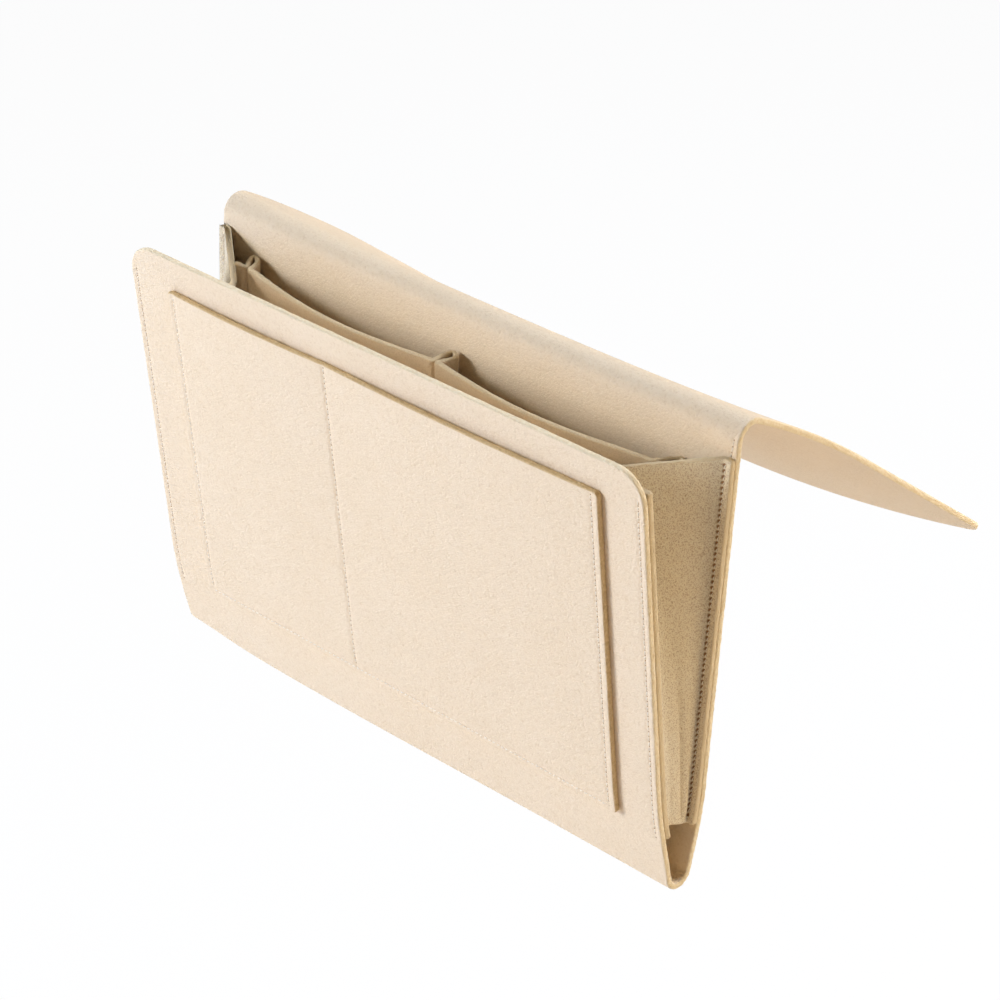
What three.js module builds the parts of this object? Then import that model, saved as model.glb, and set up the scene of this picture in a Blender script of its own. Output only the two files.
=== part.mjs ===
import * as THREE from "three";

// Bedside caddy sewn from thick felt. Lengths are in millimetres, angles in degrees, +Z is up.
// +X runs along the bed, and -Y is the side that faces the room. The origin is the middle of the
// back panel's flat rear face, which lies against the side of the bed.

// Felt and fit
const feltThickness = 3;
const feltGap = 0.3;
const hingeGap = 0.4;

// Main sheet: front panel, bottom fold, back panel, top bend and mattress flap are one long felt
const caddyWidth = 320;
const backFlatHeight = 168.5;
const backFootBendLength = 20;
const backFootLeanAngle = 9.2;
const backFootLength = 20.5;
const foldRadius = 6.5;
const frontFootLength = 28;
const frontFootBendLength = 24;
const frontFootLeanAngle = 16.5;
const frontFlatLength = 164.8;
const frontLeanAngle = 10.3;
const frontCornerRadius = 15;
const bendRadius = 8;
const flapStartAngle = 24;
const flapCurveLength = 90;
const flapFlatLength = 123;
const flapAngle = 33;
const flapSagDepth = 17;
const flapSagPower = 1.9;
const flapCornerRadius = 9;

// Front pocket panel, sewn on along both sides, its lower edge and one upright seam
const pocketWidth = 269;
const pocketShiftWidth = 2.5;
const pocketTopMargin = 15.2;
const pocketHeight = 169.5;
const pocketBulgeDepth = 1.2;
const pocketSeamInset = 4;
const pocketSeamOffset = -27.5;

// Gussets: a wall between the panels, folded inward, with a narrow sewn flange on each panel
const gussetBottomHeight = 31;
const gussetTopHeight = 209;
const gussetFlangeWidth = 5;
const gussetCornerLength = 2.4;
const gussetFoldDepth = 41;
const gussetFoldPower = 1.8;
const gussetFoldLength = 9;
const gussetFoldPlaceShare = 0.62;
const gussetDroopHeight = 10;

// Inner divider: one felt strip, pinched back to the back panel in three pleats
const dividerBottomHeight = 58;
const dividerTopHeight = 203.5;
const dividerSlopeHeight = 3.2;
const dividerEndClearance = 0.6;
const dividerLeftDepth = 13;
const dividerCentreDepth = 17.5;
const dividerRightDepth = 14.5;
const dividerFootDepth = 6;
const dividerDepthPower = 1.25;
const dividerBowDepth = 7.5;
const pleatLayerSpacing = 4.4;
const pleatCornerLength = 1.9;
const pleatTurnLength = 1.9;
const pleatLeanWidth = 3.5;
const endPleatLeanWidth = 3;
const pleatShoulderWidth = 3;
const pleatClearance = 0.45;
const dividerEndLength = 2.5;

const feltColour = "#e6d8bf";
const feltRoughness = 0.96;

const half = 0.5;
const halfFelt = feltThickness * half;
const halfWidth = caddyWidth * half;
const quarterTurn = Math.PI * half;
const arcSteps = 4;
const foldSteps = 16;
const halvings = 40;

const radians = THREE.MathUtils.degToRad;
const mix = THREE.MathUtils.lerp;

// A line through the side view, made of straights and even bends. Each move has a length and the
// angle that the felt turns over it, clockwise when seen from +X with +Y to the right.
function sideProfile(start, heading, moves) {
  const stretches = [];
  let [y, z] = start;
  let angle = heading;
  let from = 0;
  for (const { length, turn } of moves) {
    const stretch = { from, length, turn, y, z, angle };
    stretches.push(stretch);
    [y, z] = pointOnStretch(stretch, length);
    angle -= turn;
    from += length;
  }
  const at = (distance) => {
    const stretch = stretches.findLast((s) => s.from <= distance) ?? stretches[0];
    const along = distance - stretch.from;
    const [py, pz] = pointOnStretch(stretch, along);
    const direction = stretch.angle - (stretch.turn * along) / stretch.length;
    return { y: py, z: pz, ny: -Math.sin(direction), nz: Math.cos(direction) };
  };
  return { at, total: from, starts: stretches.map((s) => s.from) };
}

function pointOnStretch({ y, z, angle, length, turn }, along) {
  if (turn === 0) return [y + Math.cos(angle) * along, z + Math.sin(angle) * along];
  const radius = length / turn;
  const swept = angle - along / radius;
  return [
    y + radius * (Math.sin(angle) - Math.sin(swept)),
    z - radius * (Math.cos(angle) - Math.cos(swept)),
  ];
}

// The lower sheet runs down the back panel, round the bottom fold and up the front panel.
const foldTurn = Math.PI - radians(backFootLeanAngle + frontFootLeanAngle);
const foldLength = foldRadius * foldTurn;
const lowerMoves = [
  { length: backFlatHeight, turn: 0 },
  { length: backFootBendLength, turn: radians(backFootLeanAngle) },
  { length: backFootLength, turn: 0 },
  { length: foldLength, turn: foldTurn },
  { length: frontFootLength, turn: 0 },
  { length: frontFootBendLength, turn: radians(frontFootLeanAngle - frontLeanAngle) },
  { length: frontFlatLength, turn: 0 },
];
const backTop = backFlatHeight * half;
const lower = sideProfile([-halfFelt, backTop], -quarterTurn, lowerMoves);
const [, footStart, , foldStart, foldEnd, kneeStart, kneeEnd] = lower.starts;

// The fold's lowest place is where the felt runs level, a quarter turn less the lean round it.
const lowestMid = lower.at(foldStart + foldRadius * (quarterTurn - radians(backFootLeanAngle))).z;
const underside = lowestMid - halfFelt;

// The upper sheet turns over the mattress edge and slopes down as the flap.
const bendTurn = quarterTurn + radians(flapStartAngle);
const bendLength = bendRadius * bendTurn;
const upper = sideProfile([-halfFelt, backTop], quarterTurn, [
  { length: bendLength, turn: bendTurn },
  { length: flapCurveLength, turn: radians(flapAngle - flapStartAngle) },
  { length: flapFlatLength, turn: 0 },
]);

// Finds where the lower sheet passes a height, between one place below it and one above it.
function lowerPlaceAtHeight(height, below, above) {
  let [low, high] = [below, above];
  for (let halving = 0; halving < halvings; halving++) {
    const middle = mix(low, high, half);
    if (lower.at(middle).z < height) low = middle;
    else high = middle;
  }
  return lower.at(low);
}

// A felt sheet of even thickness about a grid of places on its middle surface. The grid's rows
// and columns give the outline, and the normals come from the grid itself.
function feltSheet(name, grid) {
  const rows = grid.length;
  const columns = grid[0].length;
  const positions = [];
  for (const side of [half, -half]) {
    for (let r = 0; r < rows; r++) {
      for (let c = 0; c < columns; c++) {
        const across = grid[r][Math.min(c + 1, columns - 1)].clone().sub(grid[r][Math.max(c - 1, 0)]);
        const along = grid[Math.min(r + 1, rows - 1)][c].clone().sub(grid[Math.max(r - 1, 0)][c]);
        const offset = across.cross(along).normalize().multiplyScalar(side * feltThickness);
        positions.push(...grid[r][c].clone().add(offset).toArray());
      }
    }
  }
  const index = [];
  const quad = (a, b, c, d) => index.push(a, b, c, a, c, d);
  const top = (r, c) => r * columns + c;
  const under = (r, c) => rows * columns + top(r, c);
  for (let r = 0; r + 1 < rows; r++) {
    for (let c = 0; c + 1 < columns; c++) {
      quad(top(r, c), top(r, c + 1), top(r + 1, c + 1), top(r + 1, c));
      quad(under(r, c), under(r + 1, c), under(r + 1, c + 1), under(r, c + 1));
    }
  }
  for (let c = 0; c + 1 < columns; c++) {
    quad(top(0, c), under(0, c), under(0, c + 1), top(0, c + 1));
    quad(top(rows - 1, c), top(rows - 1, c + 1), under(rows - 1, c + 1), under(rows - 1, c));
  }
  for (let r = 0; r + 1 < rows; r++) {
    quad(top(r, 0), top(r + 1, 0), under(r + 1, 0), under(r, 0));
    quad(top(r, columns - 1), under(r, columns - 1), under(r + 1, columns - 1), top(r + 1, columns - 1));
  }
  const geometry = new THREE.BufferGeometry();
  geometry.setAttribute("position", new THREE.Float32BufferAttribute(positions, 3));
  geometry.setIndex(index);
  geometry.computeVertexNormals();
  const felt = new THREE.MeshStandardMaterial({ color: feltColour, roughness: feltRoughness, metalness: 0 });
  const mesh = new THREE.Mesh(geometry, felt);
  mesh.name = name;
  return mesh;
}

const evenSteps = (from, to, steps) =>
  Array.from({ length: steps + 1 }, (_, i) => mix(from, to, i / steps));

// Rows that close in on a rounded end, with the half width that the corner leaves at each.
function roundedEndRows(end, radius, steps) {
  return evenSteps(0, quarterTurn, steps).map((angle) => ({
    distance: end - radius + radius * Math.sin(angle),
    inset: radius * (1 - Math.cos(angle)),
  }));
}

// A stretch of a side profile, as wide as the caddy, with an optional rounded far end.
function profileSheet(name, profile, rows, columns, drop = () => 0) {
  const grid = rows.map(({ distance, inset = 0 }) => {
    const place = profile.at(distance);
    return evenSteps(-1, 1, columns).map((share) => {
      const x = share * (halfWidth - inset);
      return new THREE.Vector3(x, place.y, place.z - drop(x, distance));
    });
  });
  return feltSheet(name, grid);
}

const plainRows = (from, to, steps) =>
  evenSteps(from, to, steps).map((distance) => ({ distance }));

const seam = feltGap * half;

function backPanel() {
  const bendRows = plainRows(footStart, foldStart - seam, arcSteps * 2);
  return profileSheet("back_panel", lower, [{ distance: seam }, ...bendRows], 1);
}

function bottomFold() {
  return profileSheet("bottom_fold", lower, plainRows(foldStart + seam, foldEnd - seam, foldSteps), 1);
}

function frontPanel() {
  const kneeRows = plainRows(kneeStart, kneeEnd, arcSteps);
  const corner = roundedEndRows(lower.total, frontCornerRadius, arcSteps * 2);
  return profileSheet("front_panel", lower, [{ distance: foldEnd + hingeGap }, ...kneeRows, ...corner], 1);
}

// The flap sags between its side edges, more and more towards its free edge.
function flapDrop(x, distance) {
  const along = 1 - (1 - distance / upper.total) ** flapSagPower;
  const across = 1 - (x / halfWidth) ** 2;
  return flapSagDepth * along * across;
}

function topBend() {
  const rows = plainRows(seam, bendLength - seam, foldSteps);
  return profileSheet("top_bend", upper, rows, arcSteps * 4, flapDrop);
}

function mattressFlap() {
  const rows = plainRows(bendLength + seam, upper.total - flapCornerRadius, arcSteps * 4);
  const corner = roundedEndRows(upper.total, flapCornerRadius, arcSteps);
  return profileSheet("mattress_flap", upper, [...rows.slice(0, -1), ...corner], arcSteps * 4, flapDrop);
}

// The pocket panel follows the front panel's outer face and stands off it a little between seams.
function pocketStandOff(x, heightShare) {
  const halfSewn = pocketWidth * half - pocketSeamInset;
  const [leftSeam, rightSeam] = [pocketShiftWidth - halfSewn, pocketShiftWidth + halfSewn];
  const [from, to] = x < pocketSeamOffset ? [leftSeam, pocketSeamOffset] : [pocketSeamOffset, rightSeam];
  const between = THREE.MathUtils.clamp((x - from) / (to - from), 0, 1);
  return pocketBulgeDepth * Math.sin(Math.PI * between) * heightShare;
}

function frontPocket() {
  const top = lower.total - pocketTopMargin;
  const rows = evenSteps(top - pocketHeight, top, arcSteps * 4);
  const columns = arcSteps * 8;
  const grid = rows.map((distance, r) => {
    const place = lower.at(distance);
    return evenSteps(-1, 1, columns).map((share) => {
      const x = pocketShiftWidth + share * pocketWidth * half;
      const out = feltThickness + feltGap + pocketStandOff(x, r / (rows.length - 1));
      return new THREE.Vector3(x, place.y + place.ny * out, place.z + place.nz * out);
    });
  });
  return feltSheet("front_pocket", grid);
}

// A round bend between two straights that meet at a corner, as an exact arc. It stays a straight
// run of points where the corner opens flat.
function arcThroughCorner(start, corner, end, opening) {
  const weight = Math.sin(opening * half);
  return evenSteps(0, 1, arcSteps).map((t) => {
    const [a, c, b] = [(1 - t) ** 2, 2 * weight * t * (1 - t), t ** 2];
    const sum = start.clone().multiplyScalar(a).addScaledVector(corner, c).addScaledVector(end, b);
    return sum.divideScalar(a + c + b);
  });
}

// Rounds the inner points of an open line, so that every line gets the same number of points.
// Each reach is how far along the straights a bend starts from its corner.
function roundedLine(points, reaches) {
  const line = [points[0]];
  for (let i = 1; i + 1 < points.length; i++) {
    const toPrevious = points[i - 1].clone().sub(points[i]);
    const toNext = points[i + 1].clone().sub(points[i]);
    const opening = toPrevious.angleTo(toNext);
    const reach = Math.min(reaches[i - 1], toPrevious.length() * half, toNext.length() * half);
    const start = points[i].clone().addScaledVector(toPrevious.normalize(), reach);
    const end = points[i].clone().addScaledVector(toNext.normalize(), reach);
    line.push(...arcThroughCorner(start, points[i], end, opening));
  }
  line.push(points[points.length - 1]);
  return line;
}

const gussetHeight = (share) => underside + mix(gussetBottomHeight, gussetTopHeight, share);

// The corners of a gusset in plan at one level, from its back flange's edge to its front flange's.
function gussetCorners(share) {
  const height = gussetHeight(share);
  const standOff = feltThickness + feltGap;
  const back = lowerPlaceAtHeight(height, foldStart, 0);
  const front = lowerPlaceAtHeight(height, foldEnd, lower.total);
  const backY = back.y - standOff / Math.abs(back.ny);
  const frontY = front.y + standOff / Math.abs(front.ny);
  const wallX = halfWidth - gussetFlangeWidth;
  const depth = gussetFoldDepth * share ** gussetFoldPower;
  return [
    new THREE.Vector2(halfWidth, backY),
    new THREE.Vector2(wallX, backY),
    new THREE.Vector2(wallX - depth, mix(backY, frontY, gussetFoldPlaceShare)),
    new THREE.Vector2(wallX, frontY),
    new THREE.Vector2(halfWidth, frontY),
  ];
}

// One level of a gusset. Its folded middle hangs a little lower than its flanges.
function gussetLevel(share) {
  const corners = gussetCorners(share);
  const bends = [gussetCornerLength, gussetFoldLength, gussetCornerLength];
  return roundedLine(corners, bends).map((p) => {
    const inward = (corners[1].x - p.x) / gussetFoldDepth;
    const droop = gussetDroopHeight * share * Math.max(inward, 0);
    return new THREE.Vector3(p.x, p.y, gussetHeight(share) - droop);
  });
}

// How far from the middle the inner face of a gusset is, at the divider's top and a place in depth.
function gussetInsideAt(y) {
  const dividerShare = (dividerTopHeight - gussetBottomHeight) / (gussetTopHeight - gussetBottomHeight);
  const [, corner, apex] = gussetCorners(dividerShare);
  const wall = apex.clone().sub(corner);
  const centreLine = mix(corner.x, apex.x, (y - corner.y) / wall.y);
  return centreLine - (halfFelt * wall.length()) / Math.abs(wall.y);
}

function gusset(name, side) {
  const levels = evenSteps(0, 1, arcSteps * 4).map(gussetLevel);
  const placed = levels.map((level) => level.map((p) => p.multiply(new THREE.Vector3(side, 1, 1))));
  return feltSheet(name, side > 0 ? placed : placed.map((level) => level.reverse()));
}

// Depth of the divider in front of the back panel at one level, for a depth given at its top.
function dividerDepthAt(topDepth, share) {
  return mix(dividerFootDepth, topDepth, share ** dividerDepthPower);
}

const dividerLevels = evenSteps(0, 1, arcSteps * 2);

// The height of a place on the divider, whose top edge falls a little from the left to the right.
function dividerHeight(share, x) {
  const top = dividerTopHeight - dividerSlopeHeight * (half + x / caddyWidth);
  return underside + mix(dividerBottomHeight, top, share);
}

const panelFace = -feltThickness;
const pleatBackY = panelFace - feltGap - halfFelt;
const pleatHalf = pleatLayerSpacing * half;
const pleatEdge = pleatHalf + pleatShoulderWidth;

// The middle of an end pleat, so that the strip's end just clears the gusset beside it.
function endPleatCentre(topDepth, endLength) {
  const frontFace = panelFace - topDepth - halfFelt;
  return gussetInsideAt(frontFace) - dividerEndClearance - pleatEdge - endLength;
}

// A pleat: the strip turns back to the panel, doubles over there and comes forward again. Its back
// end leans to the left by as much as the lean says at the top, and less where it is shallower; a
// lean below zero is to the right.
function pleat(name, centre, topDepth, leanWidth, leftStub) {
  const grid = dividerLevels.map((share) => {
    const depth = dividerDepthAt(topDepth, share);
    const wallY = panelFace - depth;
    const back = centre - (leanWidth * depth) / topDepth;
    const plan = roundedLine(
      [
        new THREE.Vector2(centre - pleatEdge - leftStub + seam, wallY),
        new THREE.Vector2(centre - pleatHalf, wallY),
        new THREE.Vector2(back - pleatHalf, pleatBackY),
        new THREE.Vector2(back + pleatHalf, pleatBackY),
        new THREE.Vector2(centre + pleatHalf, wallY),
        new THREE.Vector2(centre + pleatEdge - seam, wallY),
      ],
      [pleatCornerLength, pleatTurnLength, pleatTurnLength, pleatCornerLength],
    );
    return plan.map((p) => new THREE.Vector3(p.x, p.y, dividerHeight(share, p.x)));
  });
  return feltSheet(name, grid);
}

// A pocket wall: the bowed stretch of the strip between two pleats.
function pocketWall(name, from, to, fromDepth, toDepth) {
  const grid = dividerLevels.map((share) =>
    evenSteps(0, 1, arcSteps * 3).map((along) => {
      const straight = mix(dividerDepthAt(fromDepth, share), dividerDepthAt(toDepth, share), along);
      const bow = dividerBowDepth * share * Math.sin(Math.PI * along);
      const x = mix(from + pleatEdge + pleatClearance, to - pleatEdge - pleatClearance, along);
      return new THREE.Vector3(x, panelFace - straight - bow, dividerHeight(share, x));
    }));
  return feltSheet(name, grid);
}

function divider() {
  const left = -endPleatCentre(dividerLeftDepth, dividerEndLength);
  const right = endPleatCentre(dividerRightDepth, 0);
  const group = new THREE.Group();
  group.add(
    pleat("pleat_left", left, dividerLeftDepth, pleatLeanWidth, dividerEndLength),
    pleat("pleat_centre", 0, dividerCentreDepth, pleatLeanWidth, 0),
    pleat("pleat_right", right, dividerRightDepth, -endPleatLeanWidth, 0),
    pocketWall("pocket_wall_left", left, 0, dividerLeftDepth, dividerCentreDepth),
    pocketWall("pocket_wall_right", 0, right, dividerCentreDepth, dividerRightDepth),
  );
  return group;
}

const caddy = new THREE.Group();
caddy.add(backPanel(), bottomFold(), frontPanel(), topBend(), mattressFlap());
caddy.add(frontPocket(), gusset("gusset_left", -1), gusset("gusset_right", 1), divider());

export default caddy;
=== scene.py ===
"""Dresses the bedside caddy: thick sewn felt, its seams and the studio around it."""

import logging
import math
from collections.abc import Callable, Sequence
from dataclasses import dataclass, field
from enum import Enum

import bpy
import numpy as np
from mathutils import Matrix, Vector


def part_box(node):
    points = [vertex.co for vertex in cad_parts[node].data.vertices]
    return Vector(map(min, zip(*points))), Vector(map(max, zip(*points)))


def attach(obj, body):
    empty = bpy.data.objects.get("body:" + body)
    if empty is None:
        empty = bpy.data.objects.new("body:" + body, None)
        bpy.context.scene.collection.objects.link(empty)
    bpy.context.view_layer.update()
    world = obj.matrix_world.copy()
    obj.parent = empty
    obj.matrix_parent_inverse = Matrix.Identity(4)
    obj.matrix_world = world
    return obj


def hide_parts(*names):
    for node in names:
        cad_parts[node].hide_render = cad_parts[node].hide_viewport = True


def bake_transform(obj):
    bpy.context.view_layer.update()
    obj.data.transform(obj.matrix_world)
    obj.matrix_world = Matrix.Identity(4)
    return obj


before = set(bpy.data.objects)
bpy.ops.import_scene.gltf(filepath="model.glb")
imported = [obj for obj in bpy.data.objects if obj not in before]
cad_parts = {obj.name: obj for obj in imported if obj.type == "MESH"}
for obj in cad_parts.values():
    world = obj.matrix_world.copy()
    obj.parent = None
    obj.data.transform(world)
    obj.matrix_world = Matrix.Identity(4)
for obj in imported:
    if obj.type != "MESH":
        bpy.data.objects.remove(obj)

log = logging.getLogger("caddy")

METRES = 0.001  # one millimetre; every size below is in millimetres
FELT = 3.0
HALF_FELT = FELT / 2
FELT_GAP = 0.3
LAYER = FELT + FELT_GAP * 0.5  # between the middles of two felts that are sewn together
CADDY_WIDTH = 320.0
HALF_WIDTH = CADDY_WIDTH / 2
EDGE_ROUND = 0.9
EDGE_ROUGH = 0.17  # how unevenly the felt is cut, as a share of its edge's rounding
STITCH_PITCH = 2.7
FAR_AWAY = 20.0  # farther from a seam than any stitch shows
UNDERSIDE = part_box("bottom_fold")[0].z / METRES
SIDES = (("left", -1.0), ("right", 1.0))

Points = np.ndarray
Place = tuple[float, float, float]
Colour = tuple[float, float, float]
MiddleSurface = Callable[[Points, Points], Points]
Chart = Callable[[Points, Points], tuple[Points, Points]]

WHITE: Colour = (1.0, 1.0, 1.0)


def unit(vectors: Points) -> Points:
    """Scales every vector to a length of one."""
    return vectors / np.maximum(np.linalg.norm(vectors, axis=-1, keepdims=True), 1e-12)


def smooth(values: Points) -> Points:
    """Eases a share from 0 to 1, held at both ends."""
    held = np.clip(values, 0.0, 1.0)
    return held * held * (3.0 - 2.0 * held)


def run_length(line: Points) -> float:
    """Gives the length of a line through its points."""
    return float(np.linalg.norm(np.diff(line, axis=0), axis=1).sum())


def put(name: str, data: bpy.types.ID) -> bpy.types.Object:
    """Puts an object into the scene.

    Args:
        name: Its name.
        data: Its mesh, its camera or its lamp.

    Returns:
        The object.
    """
    thing = bpy.data.objects.new(name, data)
    bpy.context.scene.collection.objects.link(thing)
    return thing


class Side(Enum):
    """The two faces of a felt."""

    TOP = 1
    UNDER = -1


class Body(Enum):
    """The bodies that the caddy's pieces ride on."""

    BACK = "back"
    FRONT = "front"
    FLAP = "flap"


@dataclass(frozen=True)
class Swell:
    """A soft lift of the felt around one place, which fades away over its reach.

    Args:
        place: The middle of the lift.
        reach: How far it fades along each axis.
        shift: How far the middle moves.
    """

    place: Place
    reach: Place
    shift: Place

    def move(self, points: Points) -> Points:
        """Gives the shift of each point."""
        away = (points - np.array(self.place)) / np.array(self.reach)
        return np.exp(-np.sum(away * away, axis=-1, keepdims=True)) * np.array(self.shift)


SWELLS = (
    Swell(place=(-160.0, -2.0, 84.0), reach=(48.0, 40.0, 32.0), shift=(0.0, -1.6, 3.0)),
    Swell(place=(160.0, -8.0, 70.0), reach=(26.0, 16.0, 24.0), shift=(0.0, 0.0, -1.6)),
    Swell(place=(-50.0, -14.0, -131.0), reach=(90.0, 40.0, 36.0), shift=(0.0, 0.0, -1.2)),
    Swell(place=(-164.0, -14.0, -131.0), reach=(34.0, 40.0, 16.0), shift=(0.0, 0.0, 3.2)),
)


def settle(points: Points) -> Points:
    """Lets the sewn felt take its slightly uneven set.

    Args:
        points: Places on the evenly drawn caddy.

    Returns:
        The same places on the real, slightly uneven one.
    """
    return points + sum(swell.move(points) for swell in SWELLS)


@dataclass(frozen=True)
class Stretch:
    """One straight or evenly bent stretch of a side line."""

    start: float
    length: float
    turn: float
    y: float
    z: float
    heading: float

    def place(self, along: Points) -> tuple[Points, Points]:
        """Gives the place a distance along the stretch.

        Args:
            along: The distances from its start.

        Returns:
            The depth and the height of each place.
        """
        if self.turn == 0:
            return self.y + math.cos(self.heading) * along, self.z + math.sin(self.heading) * along
        radius = self.length / self.turn
        swept = self.heading - along / radius
        return (
            self.y + radius * (math.sin(self.heading) - np.sin(swept)),
            self.z - radius * (math.cos(self.heading) - np.cos(swept)),
        )


class SideLine:
    """A felt's middle line in the side view, made of straights and even bends."""

    HALVINGS = 40

    def __init__(
        self, start: tuple[float, float], heading: float, moves: Sequence[tuple[float, float]]
    ) -> None:
        """Lays the stretches end to end.

        Args:
            start: Where the line starts, as depth and height.
            heading: Its first direction.
            moves: The length and the turn of each stretch.
        """
        self.stretches: list[Stretch] = []
        y, z = start
        distance = 0.0
        for length, turn in moves:
            stretch = Stretch(distance, length, turn, y, z, heading)
            self.stretches.append(stretch)
            y, z = (float(v) for v in stretch.place(np.array(length)))
            heading -= turn
            distance += length
        self.total = distance

    def at(self, distance: Points) -> tuple[Points, Points, Points, Points]:
        """Looks up places on the line.

        Args:
            distance: The distances along it.

        Returns:
            The depth and the height of each place, and both parts of the felt's normal there.
        """
        distance = np.asarray(distance, float)
        y, z, heading = (np.zeros_like(distance) for _ in range(3))
        for stretch in self.stretches:
            here = distance >= stretch.start if stretch.start > 0 else np.ones_like(distance, bool)
            along = distance - stretch.start
            sy, sz = stretch.place(along)
            y = np.where(here, sy, y)
            z = np.where(here, sz, z)
            heading = np.where(here, stretch.heading - stretch.turn * along / stretch.length, heading)
        return y, z, -np.sin(heading), np.cos(heading)

    def spot(self, distance: float) -> tuple[float, ...]:
        """Looks up one place on the line, with its normal."""
        return tuple(float(value) for value in self.at(np.array(distance)))

    def laid(self, u: Points, v: Points, lift: Points | float = 0.0) -> Points:
        """Lays a surface across the line.

        Args:
            u: The places across the caddy.
            v: The distances along the line.
            lift: How far the surface stands off the middle line.

        Returns:
            The surface's places.
        """
        y, z, ny, nz = self.at(v)
        return np.stack(np.broadcast_arrays(u, y + ny * lift, z + nz * lift), axis=-1).astype(float)

    def where(self, height: float, low: float, high: float) -> float:
        """Finds the distance at which the line passes a height.

        Args:
            height: The height to look for.
            low: A distance at which the line is below it.
            high: A distance at which the line is above it.

        Returns:
            The distance along the line.
        """
        for _ in range(self.HALVINGS):
            middle = (low + high) / 2
            if self.spot(middle)[1] < height:
                low = middle
            else:
                high = middle
        return low


@dataclass(frozen=True)
class MainSheet:
    """The long felt that makes front, fold, back, bend and flap, as lines in the side view."""

    back_height: float = 168.5
    back_foot_bend: float = 20.0
    back_foot_lean: float = math.radians(9.2)
    back_foot: float = 20.5
    fold_radius: float = 6.5
    front_foot: float = 28.0
    front_foot_bend: float = 24.0
    front_foot_lean: float = math.radians(16.5)
    front_length: float = 164.8
    front_lean: float = math.radians(10.3)
    front_corner: float = 15.0
    bend_radius: float = 8.0
    flap_start: float = math.radians(24.0)
    flap_curve: float = 90.0
    flap_length: float = 123.0
    flap_angle: float = math.radians(33.0)
    flap_sag: float = 17.0
    flap_sag_power: float = 1.9
    flap_corner: float = 9.0
    join_depth: float = 60.0

    @property
    def back_top(self) -> float:
        """The height of the back panel's top, where the bend starts."""
        return self.back_height / 2

    @property
    def fold_turn(self) -> float:
        """How far the felt turns round the bottom fold."""
        return math.pi - self.back_foot_lean - self.front_foot_lean

    @property
    def bend_turn(self) -> float:
        """How far the felt turns over the mattress edge."""
        return math.pi / 2 + self.flap_start

    @property
    def bend_length(self) -> float:
        """The length of felt in the top bend."""
        return self.bend_radius * self.bend_turn

    @property
    def bend_end(self) -> float:
        """The distance along the upper felt at which its bend ends."""
        return self.join_depth + self.bend_length

    def lower(self) -> SideLine:
        """Runs down the back, round the fold and up the front."""
        return SideLine(
            (-HALF_FELT, self.back_top),
            -math.pi / 2,
            (
                (self.back_height, 0.0),
                (self.back_foot_bend, self.back_foot_lean),
                (self.back_foot, 0.0),
                (self.fold_radius * self.fold_turn, self.fold_turn),
                (self.front_foot, 0.0),
                (self.front_foot_bend, self.front_foot_lean - self.front_lean),
                (self.front_length, 0.0),
            ),
        )

    def upper(self) -> SideLine:
        """Runs up the back from the join, over the mattress edge and down the flap."""
        return SideLine(
            (-HALF_FELT, self.back_top - self.join_depth),
            math.pi / 2,
            (
                (self.join_depth, 0.0),
                (self.bend_length, self.bend_turn),
                (self.flap_curve, self.flap_angle - self.flap_start),
                (self.flap_length, 0.0),
            ),
        )


def spread(stops: Sequence[tuple[float, float]]) -> Points:
    """Lays out places along a line at a spacing that changes from stretch to stretch.

    Args:
        stops: The first place with no spacing, then each further stop and the spacing up to it.

    Returns:
        The places, with every stop among them.
    """
    places = [np.array([stops[0][0]])]
    for (start, _), (end, spacing) in zip(stops, stops[1:]):
        steps = max(1, math.ceil((end - start) / spacing))
        places.append(np.linspace(start, end, steps + 1)[1:])
    return np.concatenate(places)


@dataclass
class Seam:
    """A line of machine stitches on a felt, in the felt's own two coordinates.

    Args:
        name: The name of the thread piece.
        start: Where the seam starts, across and along the felt.
        end: Where it ends.
        depth: How deep it draws the felt in.
        width: How wide the drawn-in groove is.
        hole: The radius of the painted shade at its needle holes.
        fade: How far past its ends the groove runs out.
        pucker: How much of the groove's depth comes and goes from stitch to stitch.
        last_hole: How far past its ends a needle hole may lie.
    """

    name: str
    start: tuple[float, float]
    end: tuple[float, float]
    depth: float = 0.42
    width: float = 1.15
    hole: float = 0.36
    fade: float = 3.0
    pucker: float = 0.22
    last_hole: float = 1.0

    @property
    def length(self) -> float:
        """The seam's length."""
        return math.dist(self.start, self.end)

    def measure(self, u: Points, v: Points) -> tuple[Points, Points]:
        """Measures places against the seam.

        Args:
            u: Their first coordinates, across the felt.
            v: Their second coordinates, along the felt.

        Returns:
            How far along the seam and how far beside it each place lies.
        """
        along = (np.array(self.end) - np.array(self.start)) / self.length
        du, dv = u - self.start[0], v - self.start[1]
        return du * along[0] + dv * along[1], dv * along[0] - du * along[1]

    def draw(self, u: Points, v: Points) -> Points:
        """Draws the felt in.

        Args:
            u: The places' first coordinates.
            v: Their second coordinates.

        Returns:
            How far the seam draws the felt in at each place.
        """
        run, beside = self.measure(u, v)
        begun = smooth((run + self.fade) / self.fade)
        left = smooth((self.length - run + self.fade) / self.fade)
        pucker = 1.0 - self.pucker + self.pucker * np.cos(2 * math.pi * run / STITCH_PITCH)
        return self.depth * (begun * left) * pucker * np.exp(-((beside / self.width) ** 2))


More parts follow.
